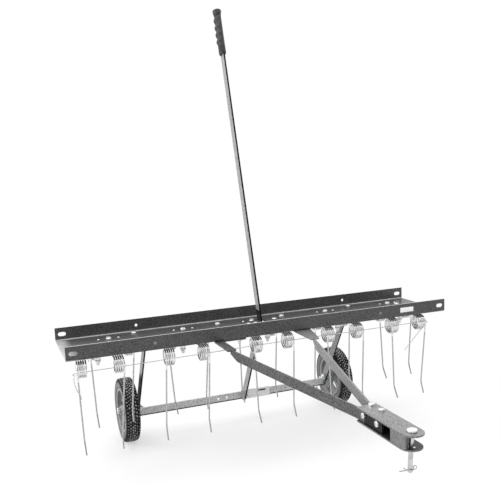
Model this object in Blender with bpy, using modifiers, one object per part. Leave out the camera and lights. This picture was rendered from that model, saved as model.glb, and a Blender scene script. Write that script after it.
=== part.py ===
"""Tow-behind lawn dethatcher: weight tray, sprung tines, lift lever, wheels and hitch.

Metres, +Z up. The origin is the middle of the top face of the tray's floor. +X runs along
the tray to the right, -Y is the direction of travel, towards the hitch. The lift lever
stands in its transport position, with the wheels down and the tines off the ground.
"""
import math

import bmesh
import bpy
import numpy as np
from mathutils import Matrix, Vector

for old in list(bpy.data.objects):
    bpy.data.objects.remove(old, do_unlink=True)

# Clearances
GAP = 0.0003            # between pieces that touch
RUN = 0.0003            # radial play of a bolt in its hole
PLAY = 0.0010           # end play of the wheels on their axles

# Tray
TRAY_LENGTH = 1.22
TRAY_DEPTH = 0.2485
FLANGE_HEIGHT = 0.039   # above the floor's top face
SHEET = 0.0025
TRAY_BEND = 0.003       # inner radius of the two bends
SLOT_FROM_END = 0.0204  # end slots' centre from the tray's end
SLOT_LENGTH = 0.024
SLOT_HEIGHT = 0.012
SLOT_RISE = 0.0185      # centre of slots and round holes above the floor
FLANGE_HOLE_X = 0.365
FLANGE_HOLE_R = 0.0045
SIDE_HOLE_R = 0.0028    # small holes beside each tine bolt
SIDE_HOLE_X = 0.030

# Fasteners
BOLT_SIDES = 8          # facets of a shank and of the hole round it
COLLAR_SIDES = 12
BOLT_R = 0.004
HEX_AF = 0.0127
HEAD_H = 0.0053
NUT_H = 0.0068
NUT_FLANGE_R = 0.0088
NUT_FLANGE_H = 0.0018
BOLT_TAIL = 0.0065      # thread that stands out of the nut
SHORT_TAIL = 0.003      # the same on the hitch and bracket bolts

# Double spring tines
WIRE_R = 0.0022
COIL_R = 0.0225         # to the middle of the wire
COIL_TURNS = 3.25
COIL_PITCH = 0.00785
COIL_POINTS = 8         # points a turn
COIL_BACK = 0.030       # coil axis in front of the tine bolt
BRIDGE_BACK = 0.0068    # bridge behind the tine bolt
BRIDGE_CORNER = 0.010
COIL_INNER = 0.0385     # from the bolt to the inner end of each coil
FRONT_PRONG_DROP = 0.1983  # from the coil's axis down to the bend
REAR_PRONG_DROP = 0.1863
PRONG_BACK = 0.008
TIP_DROP = 0.034
TIP_FORWARD = 0.0172
TIP_BEND = 0.010        # length of the rounded bend on each side
TIP_ROUND = 0.28        # share of that length that pulls the bend's middle in
FRONT_BOLT_Y = -0.0708
REAR_BOLT_Y = 0.0708
FRONT_TINES_X = (-0.518, -0.272, -0.004, 0.238, 0.471)
REAR_TINES_X = (-0.461, -0.229, 0.002, 0.269, 0.515)
# Inward lean of each tine's left and right prong, in millimetres at the tip
FRONT_LEANS = ((9, 18), (-9, 9), (10, 3), (15, 4), (12, 16))
REAR_LEANS = ((11, 15), (18, 14), (6, 8), (-3, 2), (18, 9))
SPACER_R = 0.0080
SPACER_H = 0.0055       # spacer under the tray on the front tine bolts
SLEEVE_H = 0.0090       # sleeve under the wire on the same bolts

# Retaining wires through the coils
KEEPER_R = 0.0011
KEEPER_FORWARD = 0.0155  # in front of the coil axis
KEEPER_DROP = 0.0020     # below the coil axis
# The front wire's drop below the coil axis at its left end, middle and right end
FRONT_KEEPER_DROPS = (0.0058, -0.0025, -0.0025)
# Bent tails as (x, y, z) points from the wire's straight end, in metres
LONG_TAIL_LEFT = ((-0.002, 0.0, -0.0075), (-0.005, 0.001, -0.016), (-0.001, 0.002, -0.041),
                  (0.0085, 0.003, -0.061), (0.012, 0.004, -0.075))
LONG_TAIL_RIGHT = ((0.003, 0.002, -0.008), (0.002, 0.008, -0.018), (-0.006, 0.011, -0.0265),
                   (-0.016, 0.011, -0.034), (-0.072, 0.013, -0.090))
REAR_TAIL_LEFT = ((-0.002, 0.0, -0.004), (-0.003, 0.001, -0.012), (0.001, 0.004, -0.022))
REAR_TAIL_RIGHT = ((0.003, 0.0, -0.004), (0.004, 0.002, -0.012), (-0.003, 0.006, -0.024))
INNER_TAIL_LEFT = ((0.003, 0.0, -0.004), (0.003, 0.0, -0.012))
INNER_TAIL_RIGHT = ((-0.003, 0.0, -0.004), (-0.003, 0.0, -0.012))

# Lift assembly
PIVOT_Y = 0.085
PIVOT_DROP = 0.032      # below the tray's floor
AXLE_Y = 0.235
AXLE_DROP = 0.2865      # below the tray's floor
WHEEL_R = 0.1050
ARM_X = 0.350           # middle of each wheel arm
ARM_THICK = 0.005
ARM_WIDTH = 0.028
ARM_TAIL = 0.046        # arm past the axle
ARM_SET_BACK = 0.0055   # arm's middle line behind the axle
PIVOT_R = 0.0047
BRACKET_THICK = 0.003
BRACKET_WIDTH = 0.034
BRACKET_FOOT = 0.042
BRACKET_FOOT_FRONT = 0.004  # foot's ends from the pivot and from the plate's round
BRACKET_FOOT_BACK = 0.018
PIVOT_TAIL = 0.002
BRACKET_BOLT_EDGE = 0.01925  # in front of the tray's rear face
BRACKET_BOLT_X = 0.377
CROSS_Y = 0.250         # middle of the crossbar's strip
CROSS_DROP = 0.3085
CROSS_HEIGHT = 0.027
CROSS_THICK = 0.005
CROSS_TAB = 0.025       # ends turned back along the arms
CROSS_HOLES_X = (-0.064, -0.033)
CROSS_HOLE_R = 0.0042
CROSS_BOLT_Y = 0.2620
CROSS_TAIL = 0.004      # thread past the nuts of the crossbar's bolts
LEVER_X = 0.024
LEVER_THICK = 0.006
LEVER_WIDTH = 0.028
ELBOW_Y = 0.0545        # where handle and lower arm meet, at floor level
HANDLE_LEAN = 15.8      # degrees back from upright
HANDLE_LENGTH = 1.064
LOWER_LEAN = 29.7       # degrees back from straight down
FOOT_REACH = 0.107      # foot plate along the crossbar
FOOT_RISE = 0.006       # foot plate above the crossbar
FOOT_SLOT_X = 0.074     # slot's middle from the lever
FOOT_SLOT_UP = 0.010    # slot's middle above the crossbar's
FOOT_SLOT_LENGTH = 0.032
FOOT_SLOT_WIDTH = 0.006
FOOT_BOLT_X = 0.024     # from the lever
HEEL_LAP = 0.0075       # heel in front of the lower arm's middle
GRIP_LENGTH = 0.160
GRIP_R = 0.0112         # half its thickness across the bar
GRIP_DEEP = 0.0165      # half its width along the bar's width
GRIP_SWELL = 0.0045     # finger swells on its left
GRIP_CAP = 0.006        # grip past the bar's end

# Handle slot in the tray's floor
HANDLE_SLOT_LEFT = 0.005  # slot's sides from the lever's middle
HANDLE_SLOT_RIGHT = 0.0125
HANDLE_SLOT_FRONT = 0.011
HANDLE_SLOT_BACK = 0.079
NOTCH_REACH = 0.046     # side notch towards the left
NOTCH_FRONT = 0.032
NOTCH_BACK = 0.052

# Wheels
WHEEL_X = 0.387
WHEEL_SIDES = 32        # facets round the tyre and the rim
ROUND_SIDES = 16        # facets round bosses, axles and other bearings
TYRE_WIDTH = 0.047
TYRE_INNER = 0.072
TYRE_BEAD = 0.008       # height of the bead's slope
TYRE_SHOULDER = 0.013   # depth of the shoulder
TYRE_CROWN = 0.003      # drop of the tread at its edges
RIM_INNER = 0.064
RIM_WIDTH = 0.036
HUB_BOSS_R = 0.017
SPOKES = 5
SPOKE_WIDTH = 0.016
SPOKE_THICK = 0.010
AXLE_R = 0.0063
AXLE_AF = 0.019
AXLE_HEAD = 0.008
AXLE_NUT = 0.009
AXLE_TAIL = 0.004

# Drawbars
FOOT_THICK = 0.005
FOOT_WAIST = 0.006      # how far the right foot narrows in its middle
STRAP_WIDTH = 0.026
STRAP_THICK = 0.005
LEFT_TONGUE_X = -0.176
RIGHT_TONGUE_X = 0.080
TONGUE_END_Y = -0.225
BLADE_LAP = 0.008       # blade behind the tongue's end
BLADE_TOE = 0.012       # blade's height at its rear end
BLADE_TOE_LENGTH = 0.032
FOOT_FRONT_Y = -0.118
FOOT_REAR_Y = 0.100
BAR_BOLT_X = 0.112      # rear bolts of the feet, left and right
BAR_FRONT_BOLT_X = 0.106
BAR_REAR_BOLT_Y = 0.0815
BAR_FRONT_BOLT_Y = -0.098
HITCH_X = -0.040
BAR_END_Y = -0.797
BAR_PARALLEL_Y = -0.690
HITCH_TOP_DROP = 0.030  # top face of the hitch below the tray's floor
HITCH_PLATE = 0.0036
HITCH_WIDTH = 0.049
HITCH_BACK_Y = -0.702
HITCH_FRONT_Y = -0.898
HITCH_LOWER_FRONT_Y = -0.893
HITCH_WALL_BACK = -0.833
HITCH_WALL_FRONT = -0.884
HITCH_GAP = 0.0266      # between the plates
SIDE_BOLTS_Y = (-0.728, -0.782)
SIDE_BOLT_RISE = 0.005  # above the middle of the straps
TOP_BOLTS_X = -0.0315
TOP_BOLTS_Y = (-0.711, -0.750)
PIN_Y = -0.873
PIN_R = 0.0048
PIN_HEAD_R = 0.0105
PIN_HEAD_H = 0.0060
PIN_LENGTH = 0.0825     # below the hitch's top face
PIN_LAP = 0.001         # pin's shank inside its head
PIN_LEAN = 4.0          # degrees, its foot towards the left
PIN_SLACK = 0.0008      # radial play in the top plate, which lets it lean
LOWER_HOLE_R = 0.0077   # slack hole of the lower plate
COTTER_R = 0.0010
COTTER_UP = 0.0045      # above the pin's end
COTTER_LOOP_R = 0.0038
COTTER_LOOP_X = 0.0112  # loop's middle from the pin's axis
COTTER_LEG = (-0.025, 0.0088)  # ends of the straight leg

# Derived heights and directions
FLOOR = 0.0             # top face of the tray's floor
UNDER = FLOOR - SHEET
PIVOT_Z = FLOOR - PIVOT_DROP
AXLE_Z = FLOOR - AXLE_DROP
CROSS_Z = FLOOR - CROSS_DROP
HEX_R = HEX_AF / math.sqrt(3.0)
SLOT_X = TRAY_LENGTH / 2 - SLOT_FROM_END
BRACKET_BOLT_Y = TRAY_DEPTH / 2 - BRACKET_BOLT_EDGE

parts = bpy.data.collections.new("Tow_behind_dethatcher")
cutters = bpy.data.collections.new("Cutters")
bpy.context.scene.collection.children.link(parts)
bpy.context.scene.collection.children.link(cutters)


def material(name, colour, roughness, metallic):
    """Principled material with the part's own colour."""
    mat = bpy.data.materials.new(name)
    mat.use_nodes = True
    shader = mat.node_tree.nodes["Principled BSDF"]
    shader.inputs["Base Color"].default_value = (*colour, 1.0)
    shader.inputs["Roughness"].default_value = roughness
    shader.inputs["Metallic"].default_value = metallic
    mat.diffuse_color = (*colour, 1.0)
    return mat


LOOKS = {
    "tray": ((0.075, 0.075, 0.078), 0.45, 0.2),
    "zinc": ((0.62, 0.63, 0.64), 0.30, 0.9),
    "spring": ((0.66, 0.66, 0.66), 0.32, 0.8),
    "wire": ((0.50, 0.50, 0.50), 0.35, 0.8),
    "grey_steel": ((0.30, 0.30, 0.31), 0.45, 0.3),
    "dark_steel": ((0.14, 0.14, 0.145), 0.45, 0.3),
    "light_steel": ((0.48, 0.48, 0.48), 0.42, 0.4),
    "rubber": ((0.02, 0.02, 0.021), 0.75, 0.0),
    "hub": ((0.26, 0.26, 0.27), 0.50, 0.0),
    "grip": ((0.018, 0.018, 0.019), 0.55, 0.0),
}


def show(obj, look):
    """Give a finished piece its own material and put it in the parts collection."""
    for coll in list(obj.users_collection):
        coll.objects.unlink(obj)
    parts.objects.link(obj)
    colour, roughness, metallic = LOOKS[look]
    mat = material(obj.name + "_" + look, colour, roughness, metallic)
    obj.data.materials.clear()
    obj.data.materials.append(mat)
    if obj.type == "MESH":
        obj.data.shade_smooth()
        obj.data.set_sharp_from_angle(angle=math.radians(32.0))
    return obj


def hide(obj):
    """Keep a cutter or an operand out of the model."""
    for coll in list(obj.users_collection):
        coll.objects.unlink(obj)
    cutters.objects.link(obj)
    obj.hide_render = True
    obj.display_type = "WIRE"
    return obj


def from_bmesh(name, bm):
    """New object from a bmesh, with its faces pointing out."""
    bmesh.ops.recalc_face_normals(bm, faces=bm.faces)
    mesh = bpy.data.meshes.new(name)
    bm.to_mesh(mesh)
    bm.free()
    obj = bpy.data.objects.new(name, mesh)
    parts.objects.link(obj)
    return obj


def baked(obj, name):
    """Evaluated copy of an object as a welded mesh, in world coordinates."""
    bpy.context.view_layer.update()
    graph = bpy.context.evaluated_depsgraph_get()
    mesh = bpy.data.meshes.new_from_object(obj.evaluated_get(graph))
    mesh.transform(obj.matrix_world)
    bm = bmesh.new()
    bm.from_mesh(mesh)
    bmesh.ops.remove_doubles(bm, verts=bm.verts, dist=0.00001)
    bpy.data.objects.remove(obj, do_unlink=True)
    return from_bmesh(name, bm)


TURN = {
    "X": Matrix.Rotation(math.radians(90.0), 4, "Y"),
    "Y": Matrix.Rotation(math.radians(-90.0), 4, "X"),
    "Z": Matrix.Identity(4),
}


def add_round(bm, centre, axis, radius, length, sides):
    """Cylinder in a bmesh, centred on a point, along a named axis."""
    place = Matrix.Translation(Vector(centre)) @ TURN[axis]
    bmesh.ops.create_cone(bm, cap_ends=True, segments=sides, radius1=radius,
                          radius2=radius, depth=length, matrix=place)


def add_box(bm, low, high, turn=None, about=None):
    """Box in a bmesh between two corners, optionally turned about a point."""
    low, high = Vector(low), Vector(high)
    size = high - low
    place = Matrix.Translation((low + high) / 2) @ Matrix.Diagonal((*size, 1.0))
    if turn is not None:
        shift = Matrix.Translation(Vector(about))
        place = shift @ turn @ shift.inverted() @ place
    bmesh.ops.create_cube(bm, size=1.0, matrix=place)


def cylinder(name, centre, axis, radius, length, sides):
    bm = bmesh.new()
    add_round(bm, centre, axis, radius, length, sides)
    return from_bmesh(name, bm)


def box(name, low, high, turn=None, about=None):
    bm = bmesh.new()
    add_box(bm, low, high, turn, about)
    return from_bmesh(name, bm)


def slab(name, outline, thickness, frame):
    """Flat outline as a 2D curve with an extrude, placed by a frame matrix.

    The outline lies in the frame's XY plane and the slab is centred on it."""
    curve = bpy.data.curves.new(name, "CURVE")
    curve.dimensions = "2D"
    curve.fill_mode = "BOTH"
    curve.extrude = thickness / 2
    spline = curve.splines.new("POLY")
    spline.points.add(len(outline) - 1)
    for point, (u, v) in zip(spline.points, outline):
        point.co = (u, v, 0.0, 1.0)
    spline.use_cyclic_u = True
    obj = bpy.data.objects.new(name, curve)
    parts.objects.link(obj)
    obj.matrix_world = frame
    return baked(obj, name)


def frame_yz(x):
    """Frame whose outline plane is the world's YZ plane at a given X."""
    return Matrix(((0, 0, 1, x), (1, 0, 0, 0), (0, 1, 0, 0), (0, 0, 0, 1)))


def frame_xy(z):
    return Matrix.Translation((0.0, 0.0, z))


def frame_xz(y):
    """Frame whose outline plane is the world's XZ plane at a given Y."""
    return Matrix(((1, 0, 0, 0), (0, 0, -1, y), (0, 1, 0, 0), (0, 0, 0, 1)))


def arc(cx, cy, radius, start, end, steps):
    """Points of an arc in degrees, both ends included."""
    angles = np.radians(np.linspace(start, end, steps + 1))
    return [(cx + radius * math.cos(a), cy + radius * math.sin(a)) for a in angles]


def stadium(cx, cy, length, width):
    """Slot outline with round ends, its length along the first axis."""
    half = (length - width) / 2
    right = arc(cx + half, cy, width / 2, -90, 90, 4)
    left = arc(cx - half, cy, width / 2, 90, 270, 4)
    return right + left


def boolean(obj, other, operation):
    mod = obj.modifiers.new(operation.title(), "BOOLEAN")
    mod.operation = operation
    mod.object = hide(other)
    mod.solver = "EXACT"
    return obj


def cut(obj, *others):
    for other in others:
        boolean(obj, other, "DIFFERENCE")
    return obj


def join(obj, *others):
    for other in others:
        boolean(obj, other, "UNION")
    return obj


def merged(name, objects):
    """One mesh from several that don't touch each other."""
    bm = bmesh.new()
    for obj in objects:
        bm.from_mesh(obj.data)
        bpy.data.objects.remove(obj, do_unlink=True)
    return from_bmesh(name, bm)


def turned(name, profile, axis, centre, steps):
    """Closed profile of (along, radius) pairs turned about an axis through a point."""
    mesh = bpy.data.meshes.new(name)
    verts = [(radius, 0.0, along) for along, radius in profile]
    count = len(verts)
    closed = profile[0][1] > 0.0 or profile[-1][1] > 0.0
    edges = [(i, i + 1) for i in range(count - 1)]
    if closed:
        edges.append((count - 1, 0))
    mesh.from_pydata(verts, edges, [])
    obj = bpy.data.objects.new(name, mesh)
    parts.objects.link(obj)
    mod = obj.modifiers.new("Screw", "SCREW")
    mod.axis = "Z"
    mod.angle = math.radians(360.0)
    mod.steps = steps
    mod.render_steps = steps
    mod.use_merge_vertices = True
    mod.merge_threshold = 0.00001
    obj.matrix_world = Matrix.Translation(Vector(centre)) @ TURN[axis]
    return baked(obj, name)


def wire(name, points, radius, look):
    """Tube along a list of points, as a curve with filled caps."""
    curve = bpy.data.curves.new(name, "CURVE")
    curve.dimensions = "3D"
    curve.bevel_depth = radius
    curve.bevel_resolution = 1
    curve.use_fill_caps = True
    curve.twist_mode = "MINIMUM"
    spline = curve.splines.new("POLY")
    spline.points.add(len(points) - 1)
    for point, co in zip(spline.points, points):
        point.co = (*co, 1.0)
    obj = bpy.data.objects.new(name, curve)
    parts.objects.link(obj)
    return show(obj, look)


def set_origin(obj, point):
    """Move a mesh object's origin to a point without moving its shape."""
    shift = Vector(point)
    obj.data.transform(Matrix.Translation(-shift))
    obj.location = shift
    return obj


def carry(parent, *children):
    """Parent pieces to an empty and keep them where they are."""
    for child in children:
        child.parent = parent
        child.location = Vector(child.location) - parent.matrix_world.translation


def empty(name, point):
    obj = bpy.data.objects.new(name, None)
    parts.objects.link(obj)
    obj.location = point
    obj.empty_display_size = 0.03
    bpy.context.view_layer.update()
    return obj


def bolt(name, point, axis, out, grip, radius=BOLT_R, af=HEX_AF, head=HEAD_H, nut=NUT_H,
         tail=BOLT_TAIL, sleeves=(), flange=True, sides=BOLT_SIDES):
    """Hex bolt with its nut, one solid.

    point is on the face under the head, out is +1 or -1 along the axis towards
    the head, and grip is the distance from that face to the nut's face. Each sleeve
    is given by its distance from the same face and its height."""
    unit = {"X": Vector((1, 0, 0)), "Y": Vector((0, 1, 0)), "Z": Vector((0, 0, 1))}[axis]
    unit = unit * out
    point = Vector(point)
    hex_r = af / math.sqrt(3.0)

    def stage(start, length, rad, facets, label):
        """Cylinder from a distance below the head's face."""
        middle = point - unit * (start + length / 2)
        return cylinder(name + label, middle, axis, rad, length, facets)

    shank = stage(-head * 0.5, head * 0.5 + grip + nut + tail, radius, sides, "_shank")
    pieces = [stage(-head - GAP, head, hex_r, 6, "_head")]
    nut_start = grip + GAP
    if flange:
        collar = stage(nut_start, NUT_FLANGE_H, NUT_FLANGE_R, COLLAR_SIDES, "_flange")
        pieces.append(collar)
        nut_start += NUT_FLANGE_H * 0.5
    pieces.append(stage(nut_start, nut, hex_r, 6, "_nut"))
    for start, height in sleeves:
        pieces.append(stage(start + GAP, height - 2 * GAP, SPACER_R, COLLAR_SIDES,
                            "_sleeve"))
    shank.name = name
    shank.data.name = name
    join(shank, *pieces)
    return show(shank, "zinc")


def tray_outline():
    """Cross-section of the tray in (y, z), going round the sheet."""
    half = TRAY_DEPTH / 2
    top = FLOOR + FLANGE_HEIGHT
    outer = TRAY_BEND + SHEET
    points = [(-half, top)]
    points += arc(-half + outer, FLOOR + TRAY_BEND, outer, 180, 270, 4)
    points += arc(half - outer, FLOOR + TRAY_BEND, outer, 270, 360, 4)
    points += [(half, top), (half - SHEET, top)]
    points += arc(half - outer, FLOOR + TRAY_BEND, TRAY_BEND, 0, -90, 3)
    points += arc(-half + outer, FLOOR + TRAY_BEND, TRAY_BEND, -90, -180, 3)
    points.append((-half + SHEET, top))
    return points


def tine_rows():
    """Name, bolt position, spacer height, prong drop and prong leans of each tine."""
    rows = (
        ("front", FRONT_TINES_X, FRONT_BOLT_Y, SPACER_H, FRONT_PRONG_DROP, FRONT_LEANS),
        ("rear", REAR_TINES_X, REAR_BOLT_Y, 0.0, REAR_PRONG_DROP, REAR_LEANS),
    )
    for row, places, y, spacer, drop, leans in rows:
        for index, (x, lean) in enumerate(zip(places, leans)):
            yield "%s_%d" % (row, index + 1), x, y, spacer, drop, lean


def build_tray():
    tray = slab("tray", tray_outline(), TRAY_LENGTH, frame_yz(0.0))
    slot_z = FLOOR + SLOT_RISE
    bm = bmesh.new()
    through = 6 * SHEET
    for _, x, y, _, _, _ in tine_rows():
        add_round(bm, (x, y, FLOOR), "Z", BOLT_R + RUN, through, BOLT_SIDES)
        for side in (-1, 1):
            hole_x = x + side * SIDE_HOLE_X
            in_slot = y > 0 and abs(hole_x - LEVER_X) < HANDLE_SLOT_RIGHT
            if not in_slot:
                add_round(bm, (hole_x, y, FLOOR), "Z", SIDE_HOLE_R, through, 6)
    for side in (-1, 1):
        floor_bolts = (
            (side * BRACKET_BOLT_X, BRACKET_BOLT_Y),
            (side * BAR_BOLT_X, BAR_REAR_BOLT_Y),
            (side * BAR_FRONT_BOLT_X, BAR_FRONT_BOLT_Y),
        )
        for x, y in floor_bolts:
            add_round(bm, (x, y, FLOOR), "Z", BOLT_R + RUN, through, BOLT_SIDES)
        for face in (-1, 1):
            centre = (side * FLANGE_HOLE_X, face * TRAY_DEPTH / 2, slot_z)
            add_round(bm, centre, "Y", FLANGE_HOLE_R, through, COLLAR_SIDES)
    holes = from_bmesh("tray_holes", bm)
    slots = []
    for side in (-1, 1):
        for face in (-1, 1):
            outline = stadium(side * SLOT_X, slot_z, SLOT_LENGTH, SLOT_HEIGHT)
            slots.append(slab("end_slot", outline, through, frame_xz(face * TRAY_DEPTH / 2)))
    end_slots = merged("tray_end_slots", slots)
    left, right = LEVER_X - HANDLE_SLOT_LEFT, LEVER_X + HANDLE_SLOT_RIGHT
    notch = left - NOTCH_REACH
    outline = [
        (left, HANDLE_SLOT_FRONT), (right, HANDLE_SLOT_FRONT), (right, HANDLE_SLOT_BACK),
        (left, HANDLE_SLOT_BACK), (left, NOTCH_BACK), (notch, NOTCH_BACK),
        (notch, NOTCH_FRONT), (left, NOTCH_FRONT),
    ]
    handle_slot = slab("tray_handle_slot", outline, through, frame_xy(FLOOR))
    cut(tray, holes, end_slots, handle_slot)
    return show(tray, "tray")


def coil_points(inner_x, outward):
    """Coil from its inner top end to its outer front end, about the tine's own origin.

    A point at turn t lies at COIL_R from the coil's axis, at 90 degrees when t is 0 and
    turning forward and down, while X moves outward by one pitch a turn."""
    count = round(COIL_TURNS * COIL_POINTS)
    turns = np.linspace(0.0, COIL_TURNS, count + 1)
    angle = math.pi / 2 + 2 * math.pi * turns
    x = inner_x + outward * COIL_PITCH * turns
    y = -COIL_BACK + COIL_R * np.cos(angle)
    z = -COIL_R + COIL_R * np.sin(angle)
    return np.stack([x, y, z], axis=1)


def half_tine(lean, drop):
    """Right half of a tine, from the middle of its bridge to the tip of its prong.

    lean is how far the tip stands inwards of the coil's outer end, and drop is the
    height from the coil's axis down to the bend."""
    corner = BRIDGE_CORNER
    bend = corner * (1 - math.sqrt(0.5))
    points = [
        (COIL_INNER - corner, BRIDGE_BACK, 0.0),
        (COIL_INNER - bend, BRIDGE_BACK - bend, 0.0),
        (COIL_INNER, BRIDGE_BACK - corner, 0.0),
    ]
    points += [tuple(p) for p in coil_points(COIL_INNER, 1.0)]
    end = np.array(points[-1])
    share = drop / (drop + TIP_DROP)
    knee = end + np.array([-lean * share, PRONG_BACK, -drop])
    tip = knee + np.array([-lean * (1 - share), -TIP_FORWARD, -TIP_DROP])
    upper = (end - knee) / np.linalg.norm(end - knee)
    lower = (tip - knee) / np.linalg.norm(tip - knee)
    points.append(tuple(knee + upper * TIP_BEND))
    points.append(tuple(knee + (upper + lower) * TIP_BEND * TIP_ROUND))
    points.append(tuple(knee + lower * TIP_BEND))
    points.append(tuple(tip))
    return points


def tine_points(leans, drop):
    """One double tine as a single line of points, from the left tip to the right tip."""
    left, right = (half_tine(lean * 0.001, drop) for lean in leans)
    return np.array([(-x, y, z) for x, y, z in reversed(left)] + right)


def least_gap(points):
    """Least clear distance between turns of one coil, measured on fine points."""
    count = round(COIL_TURNS * COIL_POINTS) + 1
    start = (len(points) // 2) + 3
    coil = points[start:start + count]
    fine = []
    for a, b in zip(coil[:-1], coil[1:]):
        fine += [a + (b - a) * s for s in np.linspace(0.0, 1.0, 5)[:-1]]
    fine = np.array(fine)
    step = 4 * COIL_POINTS
    least = 1.0
    for shift in range(step // 2, len(fine)):
        apart = np.linalg.norm(fine[shift:] - fine[:-shift], axis=1)
        least = min(least, float(apart.min()))
    return least - 2 * WIRE_R


def build_tines():
    for name, x, y, spacer, drop, leans in tine_rows():
        points = tine_points(leans, drop)
        print("least gap in tine_%s: %.2f mm" % (name, least_gap(points) * 1000))
        tine = wire("tine_" + name, points, WIRE_R, "spring")
        tine.location = (x, y, UNDER - GAP - WIRE_R - spacer)
        grip = SHEET + spacer + 2 * WIRE_R + GAP
        sleeves = ()
        if spacer > 0:
            sleeves = ((SHEET, spacer), (grip, SLEEVE_H))
            grip += SLEEVE_H
        bolt("tine_bolt_" + name, (x, y, FLOOR), "Z", 1, grip, sleeves=sleeves,
             flange=spacer > 0)


def keeper(name, row_y, spacer, xs, drops, tails):
    """Retaining wire through a row's coils, with a bent tail at each end.

    xs and drops give the points of its run: X and the height below the coil axis."""
    y = row_y - COIL_BACK - KEEPER_FORWARD
    axis_z = UNDER - GAP - WIRE_R - spacer - COIL_R
    run = [(x, y, axis_z - drop) for x, drop in zip(xs, drops)]
    first, last = run[0], run[-1]
    points = [tuple(np.add(first, step)) for step in reversed(tails[0])]
    points += run
    points += [tuple(np.add(last, step)) for step in tails[1]]
    return wire(name, points, KEEPER_R, "wire")


def build_keepers():
    coil_end = COIL_INNER + COIL_TURNS * COIL_PITCH + WIRE_R
    reach = coil_end + 2 * KEEPER_R
    first, last = FRONT_TINES_X[0], FRONT_TINES_X[-1]
    keeper("retaining_wire_front", FRONT_BOLT_Y, SPACER_H,
           (first - reach, FRONT_TINES_X[2], last + reach), FRONT_KEEPER_DROPS,
           (LONG_TAIL_LEFT, LONG_TAIL_RIGHT))
    middle = REAR_TINES_X[2]
    inner = COIL_INNER - 3 * WIRE_R
    level = (KEEPER_DROP, KEEPER_DROP)
    keeper("retaining_wire_rear_left", REAR_BOLT_Y, 0.0,
           (REAR_TINES_X[0] - reach, middle - inner), level,
           (REAR_TAIL_LEFT, INNER_TAIL_LEFT))
    keeper("retaining_wire_rear_right", REAR_BOLT_Y, 0.0,
           (middle + inner, REAR_TINES_X[-1] + reach), level,
           (INNER_TAIL_RIGHT, REAR_TAIL_RIGHT))


def bar_outline(points, width):
    """Outline of a flat bar along a bent centre line, with square ends."""
    line = [Vector(p) for p in points]
    left, right = [], []
    for i, p in enumerate(line):
        before = (p - line[i - 1]).normalized() if i > 0 else None
        after = (line[i + 1] - p).normalized() if i < len(line) - 1 else None
        if before is None:
            before = after
        if after is None:
            after = before
        along = (before + after).normalized()
        side = Vector((-along.y, along.x))
        reach = width / 2 / side.dot(Vector((-before.y, before.x)))
        left.append(p + side * reach)
        right.append(p - side * reach)
    return [tuple(p) for p in left] + [tuple(p) for p in reversed(right)]


def round_bar_outline(start, end, width, past_start, past_end):
    """Outline of a straight flat bar with round ends beyond two hole centres."""
    start, end = Vector(start), Vector(end)
    along = (end - start).normalized()
    angle = math.degrees(math.atan2(along.y, along.x))
    a = start - along * (past_start - width / 2)
    b = end + along * (past_end - width / 2)
    points = arc(b.x, b.y, width / 2, angle - 90, angle + 90, 6)
    points += arc(a.x, a.y, width / 2, angle + 90, angle + 270, 6)
    return points


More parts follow.
